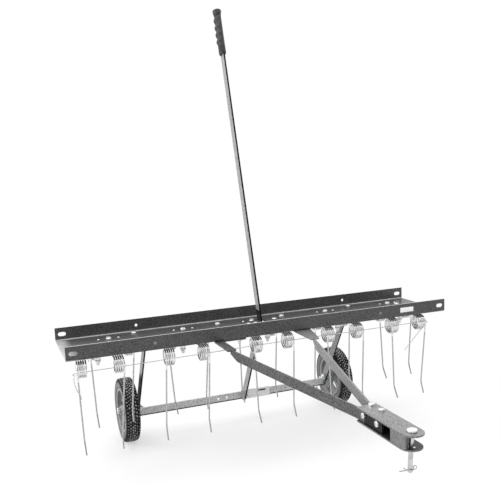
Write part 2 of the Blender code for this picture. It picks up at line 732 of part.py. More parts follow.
def build_lift():
    pivot = empty("lift_axis", (0.0, PIVOT_Y, PIVOT_Z))
    moving = []
    for side, label in ((-1, "left"), (1, "right")):
        outline = round_bar_outline((PIVOT_Y, PIVOT_Z), (AXLE_Y + ARM_SET_BACK, AXLE_Z),
                                    ARM_WIDTH, ARM_WIDTH / 2, ARM_TAIL)
        arm = slab("wheel_arm_" + label, outline, ARM_THICK, frame_yz(side * ARM_X))
        bm = bmesh.new()
        deep = ARM_THICK * 3
        x = side * ARM_X
        add_round(bm, (x, PIVOT_Y, PIVOT_Z), "X", PIVOT_R + RUN, deep, ROUND_SIDES)
        add_round(bm, (x, AXLE_Y, AXLE_Z), "X", AXLE_R + RUN, deep, ROUND_SIDES)
        add_round(bm, (x, CROSS_BOLT_Y, CROSS_Z), "X", BOLT_R + RUN, deep, BOLT_SIDES)
        cut(arm, from_bmesh("wheel_arm_holes_" + label, bm))
        show(arm, "light_steel")
        set_pivot(arm, pivot)
        moving.append(arm)
        cross_bolt = bolt("crossbar_bolt_" + label,
                          (side * (ARM_X + ARM_THICK / 2), CROSS_BOLT_Y, CROSS_Z),
                          "X", side, ARM_THICK + GAP + CROSS_THICK, tail=CROSS_TAIL,
                          flange=False)
        set_pivot(cross_bolt, pivot)
        moving.append(cross_bolt)

    inner = ARM_X - ARM_THICK / 2 - GAP
    front = CROSS_Y - CROSS_THICK / 2
    outline = [
        (-inner, front), (inner, front), (inner, front + CROSS_TAB),
        (inner - CROSS_THICK, front + CROSS_TAB), (inner - CROSS_THICK, front + CROSS_THICK),
        (-inner + CROSS_THICK, front + CROSS_THICK),
        (-inner + CROSS_THICK, front + CROSS_TAB), (-inner, front + CROSS_TAB),
    ]
    crossbar = slab("crossbar", outline, CROSS_HEIGHT, frame_xy(CROSS_Z))
    bm = bmesh.new()
    for side in (-1, 1):
        add_round(bm, (side * (inner - CROSS_THICK / 2), CROSS_BOLT_Y, CROSS_Z), "X",
                  BOLT_R + RUN, CROSS_THICK * 3, BOLT_SIDES)
    for x in CROSS_HOLES_X:
        add_round(bm, (x, CROSS_Y, CROSS_Z), "Y", CROSS_HOLE_R, CROSS_THICK * 3,
                  COLLAR_SIDES)
    foot_bolt_x = LEVER_X + FOOT_BOLT_X
    add_round(bm, (foot_bolt_x, CROSS_Y, CROSS_Z), "Y", BOLT_R + RUN, CROSS_THICK * 3,
              BOLT_SIDES)
    cut(crossbar, from_bmesh("crossbar_holes", bm))
    show(crossbar, "grey_steel")
    set_pivot(crossbar, pivot)
    moving.append(crossbar)

    foot_back = front - GAP
    foot_middle = foot_back - LEVER_THICK / 2
    lean = math.radians(HANDLE_LEAN)
    elbow = Vector((ELBOW_Y, FLOOR))
    top = elbow + Vector((math.sin(lean), math.cos(lean))) * HANDLE_LENGTH
    down = math.radians(LOWER_LEAN)
    low = Vector((ELBOW_Y + (FLOOR - CROSS_Z) * math.tan(down), CROSS_Z))
    lever = slab("lift_lever", bar_outline((top, elbow, low), LEVER_WIDTH), LEVER_THICK,
                 frame_yz(LEVER_X))
    left_x = LEVER_X - LEVER_THICK / 2
    bottom, foot_top = CROSS_Z - CROSS_HEIGHT / 2, CROSS_Z + CROSS_HEIGHT / 2 + FOOT_RISE
    heel = box("lever_heel", (left_x, low.x - HEEL_LAP, bottom),
               (left_x + LEVER_THICK, foot_back, foot_top))
    foot = box("lever_foot", (left_x, foot_back - LEVER_THICK, bottom),
               (left_x + FOOT_REACH, foot_back, foot_top))
    clear = 4 * LEVER_THICK
    below = box("lever_end", (left_x - clear, low.x - 3 * clear, bottom - 3 * clear),
                (left_x + clear, foot_back + 3 * clear, bottom))
    behind = box("lever_back", (left_x - clear, foot_back, bottom - clear),
                 (left_x + clear, foot_back + 3 * clear, foot_top + clear))
    join(lever, heel, foot)
    cut(lever, below, behind)
    slot = slab("foot_slot", stadium(LEVER_X + FOOT_SLOT_X, CROSS_Z + FOOT_SLOT_UP,
                                     FOOT_SLOT_LENGTH, FOOT_SLOT_WIDTH),
                LEVER_THICK * 3, frame_xz(foot_middle))
    bolt_hole = cylinder("foot_bolt_hole", (foot_bolt_x, foot_middle, CROSS_Z), "Y",
                         BOLT_R + RUN, LEVER_THICK * 3, BOLT_SIDES)
    cut(lever, merged("lever_holes", [slot, bolt_hole]))
    show(lever, "light_steel")
    set_pivot(lever, pivot)
    moving.append(lever)
    foot_bolt = bolt("lever_foot_bolt", (foot_bolt_x, foot_back - LEVER_THICK, CROSS_Z), "Y",
                     -1, LEVER_THICK + GAP + CROSS_THICK, tail=CROSS_TAIL, flange=False)
    set_pivot(foot_bolt, pivot)
    moving.append(foot_bolt)

    grip = build_grip(top, lean)
    set_pivot(grip, pivot)
    moving.append(grip)
    for side, label in ((-1, "left"), (1, "right")):
        moving += build_wheel(side, label, pivot)
    carry(pivot, *moving)


def set_pivot(obj, pivot):
    """Put a mesh object's origin on the lift axis."""
    set_origin(obj, pivot.matrix_world.translation)
    bpy.context.view_layer.update()


def build_grip(top, lean):
    """Moulded grip: a ribbed barrel with a flared top and finger swells on its left."""
    length = GRIP_LENGTH
    swell = [
        (0.0, 0.97), (0.03, 1.03), (0.08, 1.03), (0.13, 0.98), (0.20, 1.0), (0.28, 1.02),
        (0.36, 1.0), (0.44, 1.02), (0.52, 1.0), (0.60, 1.02), (0.68, 1.0), (0.76, 1.02),
        (0.84, 1.02), (0.90, 1.12), (0.95, 1.32), (0.98, 1.34), (1.0, 1.18),
    ]
    profile = [(0.0, 0.0)]
    profile += [(share * length, GRIP_R * radius) for share, radius in swell]
    profile.append((length, 0.0))
    grip = turned("grip_blank", profile, "Z", (0.0, 0.0, 0.0), 16)
    for vert in grip.data.vertices:
        share = vert.co.z / length
        wave = 0.5 - 0.5 * math.cos(2 * math.pi * (share - 0.20) / 0.16)
        inside = 1.0 if 0.20 < share < 0.84 else 0.0
        left = max(0.0, -vert.co.x) / GRIP_R
        flare = max(0.0, (share - 0.86) / 0.14)
        widen = GRIP_DEEP / GRIP_R * (1 - flare) + 1.08 * flare
        vert.co.y *= widen
        vert.co.x -= GRIP_SWELL * left * wave * inside
    tilt = Matrix.Rotation(-lean, 4, "X")
    along = Vector((0.0, math.sin(lean), math.cos(lean)))
    head = Vector((LEVER_X, top.x, top.y)) + along * GRIP_CAP
    base = head - along * length
    grip.data.transform(Matrix.Translation(base) @ tilt)
    grip.name = "grip"
    grip.data.name = "grip"
    bar_length = length - GRIP_CAP + GAP
    pocket = box("grip_pocket",
                 (-LEVER_THICK / 2 - GAP, -LEVER_WIDTH / 2 - GAP, -0.02),
                 (LEVER_THICK / 2 + GAP, LEVER_WIDTH / 2 + GAP, bar_length))
    pocket.data.transform(Matrix.Translation(base) @ tilt)
    cut(grip, pocket)
    return show(grip, "grip")


def build_wheel(side, label, pivot):
    """Tyre, hub and axle bolt of one wheel."""
    x = side * WHEEL_X
    centre = (x, AXLE_Y, AXLE_Z)
    half = TYRE_WIDTH / 2
    r_in, r_out = TYRE_INNER, WHEEL_R
    rise = [
        (half * 0.78, r_in), (half, r_in + TYRE_BEAD), (half, r_out - TYRE_SHOULDER),
        (half * 0.88, r_out - TYRE_CROWN), (half * 0.5, r_out),
    ]
    profile = [(-along, radius) for along, radius in rise] + rise[::-1]
    tyre = turned("tyre_" + label, profile, "X", centre, WHEEL_SIDES)
    show(tyre, "rubber")
    set_origin(tyre, centre)

    rim = RIM_WIDTH / 2
    seat = r_in - GAP
    profile = [
        (-rim, RIM_INNER), (-rim, seat), (rim, seat), (rim, RIM_INNER),
    ]
    hub = turned("hub_" + label, profile, "X", centre, WHEEL_SIDES)
    bm = bmesh.new()
    for index in range(SPOKES):
        turn = Matrix.Rotation(2 * math.pi * index / SPOKES, 4, "X")
        low = (x - SPOKE_THICK / 2, AXLE_Y - SPOKE_WIDTH / 2, AXLE_Z + HUB_BOSS_R * 0.7)
        high = (x + SPOKE_THICK / 2, AXLE_Y + SPOKE_WIDTH / 2, AXLE_Z + RIM_INNER + 0.003)
        add_box(bm, low, high, turn, centre)
    spokes = from_bmesh("hub_spokes_" + label, bm)
    inner_end = ARM_X + ARM_THICK / 2 + PLAY
    outer_end = WHEEL_X + half
    reach_in = inner_end - WHEEL_X
    reach_out = outer_end - WHEEL_X
    ends = sorted((side * reach_in, side * reach_out))
    bore = AXLE_R + RUN
    boss = turned("hub_boss_" + label,
                  [(ends[0], bore), (ends[0], HUB_BOSS_R), (ends[1], HUB_BOSS_R),
                   (ends[1], bore)], "X", centre, ROUND_SIDES)
    join(hub, spokes, boss)
    show(hub, "hub")
    set_origin(hub, centre)

    axle = bolt("axle_bolt_" + label, (side * (outer_end + PLAY), AXLE_Y, AXLE_Z), "X", side,
                outer_end + PLAY - (ARM_X - ARM_THICK / 2), radius=AXLE_R, af=AXLE_AF,
                head=AXLE_HEAD, nut=AXLE_NUT, tail=AXLE_TAIL, flange=False,
                sides=ROUND_SIDES)
    set_pivot(axle, pivot)
    return [tyre, hub, axle]


def build_brackets():
    for side, label in ((-1, "left"), (1, "right")):
        inner = ARM_X + ARM_THICK / 2 + GAP
        top = UNDER - GAP
        y0 = PIVOT_Y - BRACKET_WIDTH / 2
        y1 = y0 + BRACKET_WIDTH + BRACKET_FOOT_BACK
        outline = [(y0, top), (y0, PIVOT_Z)]
        outline += arc(PIVOT_Y, PIVOT_Z, PIVOT_Y - y0, 180, 360, 8)[1:]
        outline += [(y1, top - BRACKET_THICK), (y1, top)]
        middle = side * (inner + BRACKET_THICK / 2)
        plate = slab("pivot_bracket_" + label, outline, BRACKET_THICK, frame_yz(middle))
        foot_x = sorted((side * inner, side * (inner + BRACKET_FOOT)))
        foot = box("bracket_foot_" + label,
                   (foot_x[0], PIVOT_Y + BRACKET_FOOT_FRONT, top - BRACKET_THICK),
                   (foot_x[1], y1, top))
        join(plate, foot)
        bm = bmesh.new()
        add_round(bm, (middle, PIVOT_Y, PIVOT_Z), "X", PIVOT_R + RUN, BRACKET_THICK * 4,
                  ROUND_SIDES)
        add_round(bm, (side * BRACKET_BOLT_X, BRACKET_BOLT_Y, top), "Z", BOLT_R + RUN,
                  BRACKET_THICK * 4, BOLT_SIDES)
        cut(plate, from_bmesh("bracket_holes_" + label, bm))
        show(plate, "dark_steel")
        bolt("bracket_bolt_" + label, (side * BRACKET_BOLT_X, BRACKET_BOLT_Y, FLOOR), "Z", 1,
             SHEET + GAP + BRACKET_THICK, tail=SHORT_TAIL)
        outer = side * (inner + BRACKET_THICK)
        bolt("pivot_bolt_" + label, (outer, PIVOT_Y, PIVOT_Z), "X", side,
             BRACKET_THICK + GAP + ARM_THICK, radius=PIVOT_R, tail=PIVOT_TAIL,
             flange=False, sides=ROUND_SIDES)


def blade(name, start, bend, end, top_start, top_end):
    """Strap on edge from under the foot to the hitch, its top edge falling to the bend.

    Its lower rear corner is cut back over the toe's length."""
    start, bend, end = Vector(start), Vector(bend), Vector(end)
    toe = BLADE_TOE_LENGTH / (bend - start).length
    outline = bar_outline((start, start.lerp(bend, toe), bend, end), STRAP_THICK)
    tops = (top_start, top_start + (top_end - top_start) * toe, top_end, top_end)
    heights = (BLADE_TOE, STRAP_WIDTH, STRAP_WIDTH, STRAP_WIDTH)
    bm = bmesh.new()
    rings = []
    for left, right, top, height in zip(outline[:4], reversed(outline[4:]), tops, heights):
        corners = [(*left, top), (*right, top), (*right, top - height),
                   (*left, top - height)]
        rings.append([bm.verts.new(corner) for corner in corners])
    for ring, after in zip(rings[:-1], rings[1:]):
        for i in range(4):
            j = (i + 1) % 4
            bm.faces.new((ring[i], ring[j], after[j], after[i]))
    bm.faces.new(rings[0])
    bm.faces.new(reversed(rings[-1]))
    return from_bmesh(name, bm)


def build_drawbars():
    top = UNDER - GAP
    hitch_under = FLOOR - HITCH_TOP_DROP - HITCH_PLATE - GAP
    half = HITCH_WIDTH / 2
    for side, label, tongue_x in ((-1, "left", LEFT_TONGUE_X), (1, "right", RIGHT_TONGUE_X)):
        rear_x = side * BAR_BOLT_X
        front_x = side * BAR_FRONT_BOLT_X
        edge = STRAP_WIDTH / 2
        if side < 0:
            foot = [
                (tongue_x - edge, TONGUE_END_Y), (tongue_x + edge, TONGUE_END_Y),
                (tongue_x + edge, FOOT_FRONT_Y), (front_x + edge, FOOT_FRONT_Y),
                (rear_x + edge, FOOT_REAR_Y), (rear_x - edge, FOOT_REAR_Y),
                (rear_x - edge, 0.0), (tongue_x - edge, FOOT_FRONT_Y + STRAP_THICK),
            ]
        else:
            foot = [
                (tongue_x - edge, TONGUE_END_Y), (tongue_x + edge, TONGUE_END_Y),
                (front_x + edge, FOOT_FRONT_Y), (rear_x + edge, FOOT_REAR_Y),
                (rear_x - edge, FOOT_REAR_Y), (tongue_x - edge + FOOT_WAIST, 0.0),
                (tongue_x - edge, FOOT_FRONT_Y),
            ]
        bar = slab("drawbar_" + label, foot, FOOT_THICK, frame_xy(top - FOOT_THICK / 2))
        bar_x = HITCH_X + side * (half - HITCH_PLATE - GAP - STRAP_THICK / 2)
        strap = blade("drawbar_blade_" + label, (tongue_x, TONGUE_END_Y + BLADE_LAP),
                      (bar_x, BAR_PARALLEL_Y), (bar_x, BAR_END_Y), top - FOOT_THICK / 4,
                      hitch_under)
        join(bar, strap)
        bm = bmesh.new()
        deep = FOOT_THICK * 4
        for x, y in ((rear_x, BAR_REAR_BOLT_Y), (front_x, BAR_FRONT_BOLT_Y)):
            add_round(bm, (x, y, top), "Z", BOLT_R + RUN, deep, BOLT_SIDES)
        middle = hitch_under - STRAP_WIDTH / 2 + SIDE_BOLT_RISE
        for y in SIDE_BOLTS_Y:
            add_round(bm, (bar_x, y, middle), "X", BOLT_R + RUN, STRAP_THICK * 3, BOLT_SIDES)
        cut(bar, from_bmesh("drawbar_holes_" + label, bm))
        show(bar, "dark_steel" if side < 0 else "light_steel")
        for end, x, y in (("rear", rear_x, BAR_REAR_BOLT_Y), ("front", front_x,
                                                            BAR_FRONT_BOLT_Y)):
            bolt("drawbar_bolt_%s_%s" % (label, end), (x, y, FLOOR), "Z", 1,
                 SHEET + GAP + FOOT_THICK)


def build_hitch():
    top = FLOOR - HITCH_TOP_DROP
    under = top - HITCH_PLATE
    bottom = under - HITCH_GAP
    half = HITCH_WIDTH / 2

    def plate(name, front_y, plate_top):
        """Flat plate with a round front end."""
        outline = [(HITCH_X + half, HITCH_BACK_Y), (HITCH_X - half, HITCH_BACK_Y)]
        outline += arc(HITCH_X, front_y + half, half, 180, 360, 10)
        return slab(name, outline, HITCH_PLATE, frame_xy(plate_top - HITCH_PLATE / 2))

    bracket = plate("hitch_bracket", HITCH_FRONT_Y, top)
    lower = plate("hitch_lower", HITCH_LOWER_FRONT_Y, bottom)
    wall = box("hitch_wall",
               (HITCH_X - half, HITCH_WALL_FRONT, bottom - HITCH_PLATE / 2),
               (HITCH_X - half + HITCH_PLATE, HITCH_WALL_BACK, top - HITCH_PLATE / 2))
    join(bracket, wall, lower)
    bm = bmesh.new()
    deep = HITCH_GAP + 6 * HITCH_PLATE
    middle = under - HITCH_GAP / 2
    short = 4 * HITCH_PLATE
    add_round(bm, (HITCH_X, PIN_Y, top), "Z", PIN_R + PIN_SLACK, short, ROUND_SIDES)
    add_round(bm, (HITCH_X, PIN_Y, bottom), "Z", LOWER_HOLE_R, short, ROUND_SIDES)
    for y in TOP_BOLTS_Y:
        add_round(bm, (TOP_BOLTS_X, y, middle), "Z", BOLT_R + RUN, deep, BOLT_SIDES)
    cut(bracket, from_bmesh("hitch_holes", bm))
    show(bracket, "grey_steel")
    span = top - (bottom - HITCH_PLATE)
    for index, y in enumerate(TOP_BOLTS_Y):
        bolt("hitch_top_bolt_%d" % (index + 1), (TOP_BOLTS_X, y, top), "Z", 1, span,
             tail=SHORT_TAIL, flange=False)
    bar_out = half - HITCH_PLATE - GAP
    bar_mid = under - GAP - STRAP_WIDTH / 2 + SIDE_BOLT_RISE
    for index, y in enumerate(SIDE_BOLTS_Y):
        bolt("hitch_side_bolt_%d" % (index + 1), (HITCH_X - bar_out, y, bar_mid), "X", -1,
             2 * bar_out, tail=SHORT_TAIL, flange=False)

    end = top - PIN_LENGTH
    shank_top = top + GAP + PIN_LAP
    seat = Matrix.Translation((HITCH_X, PIN_Y, top))
    lean = seat @ Matrix.Rotation(math.radians(PIN_LEAN), 4, "Y") @ seat.inverted()
    pin = cylinder("hitch_pin", (HITCH_X, PIN_Y, (shank_top + end) / 2), "Z", PIN_R,
                   shank_top - end, ROUND_SIDES)
    pin.data.transform(lean)
    head = turned("pin_head",
                  [(0.0, 0.0), (0.0, PIN_HEAD_R), (PIN_HEAD_H * 0.6, PIN_HEAD_R),
                   (PIN_HEAD_H * 0.9, PIN_HEAD_R * 0.75), (PIN_HEAD_H, 0.0)],
                  "Z", (HITCH_X, PIN_Y, top + GAP), ROUND_SIDES)
    join(pin, head)
    hole_z = end + COTTER_UP
    hole = cylinder("pin_hole", (HITCH_X, PIN_Y, hole_z), "X", COTTER_R + RUN, PIN_R * 4, 10)
    hole.data.transform(lean)
    cut(pin, hole)
    show(pin, "zinc")
    set_origin(pin, (HITCH_X, PIN_Y, top))
    build_cotter(hole_z, lean)


def build_cotter(hole_z, lean):
    """Hair cotter: a straight leg through the pin, a loop and a wavy leg outside it.

    It is drawn on an upright pin and leans with it."""
    x, y = HITCH_X, PIN_Y
    side = PIN_R + GAP + COTTER_R
    leg = [(end, 0.0, 0.0) for end in COTTER_LEG]
    radius = COTTER_LOOP_R
    loop = []
    for angle in np.radians(np.arange(-60.0, 181.0, 30.0)):
        loop.append((COTTER_LOOP_X + radius * math.cos(angle), 0.0,
                     radius + radius * math.sin(angle)))
    back = [(0.0058, -0.0045, 0.0032), (0.0, -side, 0.0012), (-0.006, -side, 0.0030),
            (-0.013, -side, 0.0045), (-0.021, -side, 0.0095)]
    points = [lean @ Vector((x + dx, y + dy, hole_z + dz))
              for dx, dy, dz in leg + loop + back]
    wire("hair_cotter", points, COTTER_R, "zinc")


build_tray()
build_tines()
build_keepers()
build_brackets()
build_lift()
build_drawbars()
build_hitch()
bpy.context.view_layer.update()
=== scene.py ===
"""Looks of a tow-behind lawn dethatcher: tray, sprung tines, lift lever, wheels and hitch.

Metres, +Z up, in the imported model's frame. The origin is the middle of the top face of the
tray's floor, +X runs along the tray to the right and -Y is the direction of travel.
"""

import logging
import math
from collections.abc import Callable
from dataclasses import dataclass
from enum import Enum

import bmesh
import bpy
import numpy as np
from bpy.types import ID, Material, MeshPolygon, Node, NodeSocket, NodeTree, Object
from mathutils import Matrix, Vector


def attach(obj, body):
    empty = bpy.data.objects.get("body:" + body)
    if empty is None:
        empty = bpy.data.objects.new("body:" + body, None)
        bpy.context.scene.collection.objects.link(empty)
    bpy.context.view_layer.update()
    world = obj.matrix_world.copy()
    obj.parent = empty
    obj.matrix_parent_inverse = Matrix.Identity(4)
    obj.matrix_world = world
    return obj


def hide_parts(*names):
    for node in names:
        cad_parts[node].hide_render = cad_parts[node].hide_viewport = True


LOG = logging.getLogger("dethatcher")
Pair = tuple[float, float]
Triple = tuple[float, float, float]
MM = 0.001
FULL_TURN = 2 * np.pi
WHITE = (1.0, 1.0, 1.0, 1.0)
# Thickness of the tray's sheet, the lever's place along X, and the wheels' axle along Y and Z.
SHEET = 0.0025
LEVER_X = 0.024
WHEEL_AXIS = (0.235, -0.2865)
WHEEL_RADIUS = 0.1050

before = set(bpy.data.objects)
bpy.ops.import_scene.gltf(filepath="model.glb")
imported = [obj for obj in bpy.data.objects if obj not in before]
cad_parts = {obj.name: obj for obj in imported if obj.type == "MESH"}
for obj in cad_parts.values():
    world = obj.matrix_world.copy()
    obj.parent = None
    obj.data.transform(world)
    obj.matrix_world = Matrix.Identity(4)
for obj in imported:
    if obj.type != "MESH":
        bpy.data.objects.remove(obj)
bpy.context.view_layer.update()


class Axis(Enum):
    """Direction that a turned piece's own +Z is laid along."""

    RIGHT = (1.0, 0.0, 0.0)
    LEFT = (-1.0, 0.0, 0.0)
    FRONT = (0.0, -1.0, 0.0)
    UP = (0.0, 0.0, 1.0)


class Side(Enum):
    """Side of the machine, seen from the front, with its sign along X."""

    LEFT = -1
    RIGHT = 1

    def word(self) -> str:
        """The side's name, as the nodes' names end in it."""
        return self.name.lower()

    def out(self) -> Axis:
        """Direction away from the middle."""
        return Axis[self.name]


class Body(Enum):
    """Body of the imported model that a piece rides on."""

    FRAME = "frame"
    LIFT = "lift"
    LEFT_WHEEL = "left_wheel"
    RIGHT_WHEEL = "right_wheel"
    PIN = "hitch_pin"
    COTTER = "hair_cotter"


# Finishes


def linear(colour: str) -> tuple[float, float, float, float]:
    """Turns an sRGB hex colour into linear values.

    Args:
        colour: six hex digits with a leading hash sign.

    Returns:
        Red, green, blue and a full alpha.
    """
    parts = [int(colour[i:i + 2], 16) / 255 for i in (1, 3, 5)]
    red, green, blue = (
        c / 12.92 if c <= 0.04045 else ((c + 0.055) / 1.055) ** 2.4 for c in parts
    )
    return red, green, blue, 1.0


def feed(tree: NodeTree, node: Node, inputs: dict) -> None:
    """Gives a node its settings and links.

    Args:
        tree: node tree that it is in.
        node: the node.
        inputs: what each input (by name or number) or property (by name) gets. An output,
            or a node for its first output, is linked, and anything else is a value. The
            stops of a colour ramp are pairs of a place from 0 to 1 and a hex colour.
    """
    for key, value in inputs.items():
        if isinstance(value, Node):
            value = value.outputs[0]
        if isinstance(value, NodeSocket):
            tree.links.new(value, node.inputs[key])
        elif key == "stops":
            elements = node.color_ramp.elements
            while len(elements) < len(value):
                elements.new(0.5)
            for element, (place, colour) in zip(elements, value):
                element.position = place
                element.color = linear(colour)
        elif isinstance(key, int) or key in node.inputs:
            node.inputs[key].default_value = value
        else:
            setattr(node, key, value)


def add_node(tree: NodeTree, kind: str, inputs: dict) -> Node:
    """Adds a shader node with its settings and links.

    Args:
        tree: node tree that it joins.
        kind: Blender's name of the node type, after "ShaderNode".
        inputs: its settings and links, as feed takes them.

    Returns:
        The new node.
    """
    node = tree.nodes.new("ShaderNode" + kind)
    feed(tree, node, inputs)
    return node


def new_material(name: str) -> tuple[Material, NodeTree, Node, NodeSocket]:
    """Makes a material.

    Args:
        name: the finish in a maker's words.

    Returns:
        The material, its node tree, its Principled shader and its Object coordinates.
    """
    material = bpy.data.materials.new(name)
    material.use_nodes = True
    tree = material.node_tree
    place = add_node(tree, "TexCoord", {}).outputs["Object"]
    return material, tree, tree.nodes["Principled BSDF"], place


@dataclass(frozen=True)
class Recipe:
    """What all finishes share: a name, and a material whose patterns lie on the piece."""

    name: str

    def make(self) -> Material:
        """Makes the finish's material.

        Returns:
            The material, its shader fed by the recipe's nodes.
        """
        material, tree, shader, place = new_material(self.name)
        feed(tree, shader, self.nodes(tree, place))
        return material

    def nodes(self, tree: NodeTree, place: NodeSocket) -> dict:
        """Adds the nodes of the finish.

        Args:
            tree: the material's node tree.
            place: position on the piece in metres.

        Returns:
            What each of the shader's inputs gets.
        """
        raise NotImplementedError


@dataclass(frozen=True)
class HammeredPaint(Recipe):
    """Hammer-tone enamel sprayed on steel sheet and bar.

    Silicone makes the wet film draw up into small round cells while aluminium flake gathers
    in their middles, so the eye sees a dimpled skin of pale spots on a darker net. A painted
    highlight shows above a height, a painted pool of light at one end, and painted shade lies
    between two places along an axis, all in metres.
    """

    net: str
    cell: str
    cell_mm: float = 3.2
    roughness: float = 0.36
    metallic: float = 0.25
    specular: float = 0.5
    coat: float = 0.25
    coat_roughness: float = 0.18
    relief_mm: float = 0.22
    drift_mm: float = 90.0
    drift: Pair = (0.90, 1.08)
    highlight_above: float | None = None
    highlight_end: float = -0.61
    highlight_reach: float = 0.040
    highlight_colour: str = "#d8d8d8"
    shade_band: Pair | None = None
    shade_along: str = "Z"
    shade_fade: float = 0.002
    shade_colour: str = "#19191a"

    def nodes(self, tree: NodeTree, place: NodeSocket) -> dict:
        """Adds the cells, with their edges pulled about by a noise, the slow drift of the
        film's thickness, and the painted highlights and painted shade.

        Args:
            tree: the material's node tree.
            place: position on the piece in metres.

        Returns:
            What each of the shader's inputs gets.
        """
        size = self.cell_mm * MM
        noise = add_node(tree, "TexNoise",
                         {"Scale": 1 / (2.4 * size), "Detail": 2.0, "Vector": place})
        pull = add_node(tree, "VectorMath", {"operation": "SCALE", "Scale": 0.9 * size,
                                             0: noise.outputs["Color"]})
        moved = add_node(tree, "VectorMath", {"operation": "ADD", 0: place, 1: pull})
        cells = add_node(tree, "TexVoronoi", {"feature": "SMOOTH_F1", "Scale": 1 / size,
                                              "Smoothness": 0.35, "Vector": moved})
        colour = add_node(tree, "ValToRGB",
                          {"stops": [(0.18, self.cell), (0.75, self.net)], "Fac": cells})
        # Film thickness drifts over a hand's width, which shades the paint by a few per cent.
        thin, thick = self.drift
        slow = add_node(tree, "TexNoise", {"Scale": 1 / (self.drift_mm * MM), "Detail": 3.0,
                                           "Vector": place})
        shade = add_node(tree, "MapRange", {"From Min": 0.3, "From Max": 0.7, "To Min": thin,
                                            "To Max": thick, "Value": slow})
        paint = add_node(tree, "VectorMath",
                         {"operation": "SCALE", 0: colour, "Scale": shade})
        gloss = add_node(tree, "MapRange", {"From Min": 0.1, "From Max": 0.8,
                                            "To Min": self.roughness - 0.06,
                                            "To Max": self.roughness + 0.10, "Value": cells})
        bump = add_node(tree, "Bump", {"Strength": 0.55, "Distance": self.relief_mm * MM,
                                       "invert": True, "Height": cells})
        fed = {"Metallic": self.metallic, "Specular IOR Level": self.specular,
               "Coat Weight": self.coat, "Coat Roughness": self.coat_roughness,
               "Roughness": gloss, "Normal": bump}
        # Painted highlight along the top edges and painted pool of light at the floor's end.
        if self.highlight_above is not None:
            paint = self.paint_highlights(tree, place, paint)
        # Painted shade: darker and matt between two places along an axis.
        if self.shade_band is not None:
            amount = self.shade_amount(tree, place)
            paint = add_node(tree, "Mix", {"data_type": "RGBA", 0: amount, 6: paint,
                                           7: linear(self.shade_colour)}).outputs[2]
            for key in ("Metallic", "Coat Weight"):
                fed[key] = add_node(tree, "MapRange",
                                    {"To Min": fed[key], "To Max": 0.0, "Value": amount})
        return {**fed, "Base Color": paint}

    def paint_highlights(self, tree: NodeTree, place: NodeSocket, paint: Node) -> NodeSocket:
        """Paints highlights: a pale line along a sheet's top edge and a pool of light at one
        end of the floor.

        Args:
            tree: the material's node tree.
            place: position on the piece in metres.
            paint: the paint's colour.

        Returns:
            Colour with the painted highlights.
        """
        at = add_node(tree, "SeparateXYZ", {"Vector": place}).outputs
        edge = add_node(tree, "MapRange", {"From Min": self.highlight_above, "Value": at["Z"],
                                           "From Max": self.highlight_above + 0.4 * MM})
        end = add_node(tree, "MapRange", {"From Min": self.highlight_end + self.highlight_reach,
                                          "From Max": self.highlight_end, "To Max": 0.75,
                                          "Value": at["X"]})
        floor = add_node(tree, "Math", {"operation": "LESS_THAN", 1: 1.2 * MM, 0: at["Z"]})
        highlit = add_node(tree, "Math", {"operation": "MULTIPLY_ADD", 0: end, 1: floor,
                                       2: edge})
        return add_node(tree, "Mix", {"data_type": "RGBA", 0: highlit, 6: paint,
                                      7: linear(self.highlight_colour)}).outputs[2]

    def shade_amount(self, tree: NodeTree, place: NodeSocket) -> Node:
        """Stretch of a bar painted dark and matt as shade.

        Args:
            tree: the material's node tree.
            place: position on the piece in metres.

        Returns:
            Share of painted shade, from 0 to 1.
        """
        low, high = self.shade_band
        along = add_node(tree, "SeparateXYZ", {"Vector": place}).outputs[self.shade_along]
        above, below = (
            add_node(tree, "MapRange", {"From Min": clear, "From Max": full, "Value": along})
            for clear, full in ((low - self.shade_fade, low), (high + self.shade_fade, high)))
        return add_node(tree, "Math", {"operation": "MULTIPLY", 0: above, 1: below})


@dataclass(frozen=True)
class Clouded(Recipe):
    """Skin whose colour and gloss drift in soft clouds over a fine grain in relief.

    Pairs are for low and high noise, and octaves are of the clouds and of the grain.
    """

    ground: str
    cloud: str
    roughness: float
    cloud_mm: float
    grain_mm: float
    relief_mm: float
    metallic: float
    edges: Pair
    gloss_drift: Pair
    octaves: Pair
    strength: float

    def nodes(self, tree: NodeTree, place: NodeSocket) -> dict:
        """Adds the clouds and the grain.

        Args:
            tree: the material's node tree.
            place: position on the piece in metres.

        Returns:
            What each of the shader's inputs gets.
        """
        clouds, grain = (
            add_node(tree, "TexNoise", {"Scale": 1 / (size * MM), "Detail": octaves,
                                        "Vector": place})
            for size, octaves in zip((self.cloud_mm, self.grain_mm), self.octaves))
        stops = list(zip(self.edges, (self.ground, self.cloud)))
        low, high = (self.roughness + drift for drift in self.gloss_drift)
        return {"Metallic": self.metallic,
                "Base Color": add_node(tree, "ValToRGB", {"stops": stops, "Fac": clouds}),
                "Roughness": add_node(tree, "MapRange",
                                      {"From Min": 0.3, "From Max": 0.7, "To Min": low,
                                       "To Max": high, "Value": clouds}),
                "Normal": add_node(tree, "Bump",
                                   {"Strength": self.strength, "Height": grain,
                                    "Distance": self.relief_mm * MM})}


@dataclass(frozen=True)
class PlatedSteel(Clouded):
    """Zinc-plated, drawn or bare steel.

    Plating leaves a bright skin with cloudy patches a few millimetres wide, and drawing
    leaves fine lines, so the gloss changes over the surface and the colour barely does. The
    grit of the plating is about 0.3 mm; it is drawn at 0.8 mm so that it shows.
    """

    roughness: float = 0.27
    cloud_mm: float = 4.0
    grain_mm: float = 0.8
    relief_mm: float = 0.03
    metallic: float = 1.0
    edges: Pair = (0.35, 0.62)
    gloss_drift: Pair = (0.08, -0.06)
    octaves: Pair = (4.0, 2.0)
    strength: float = 0.12


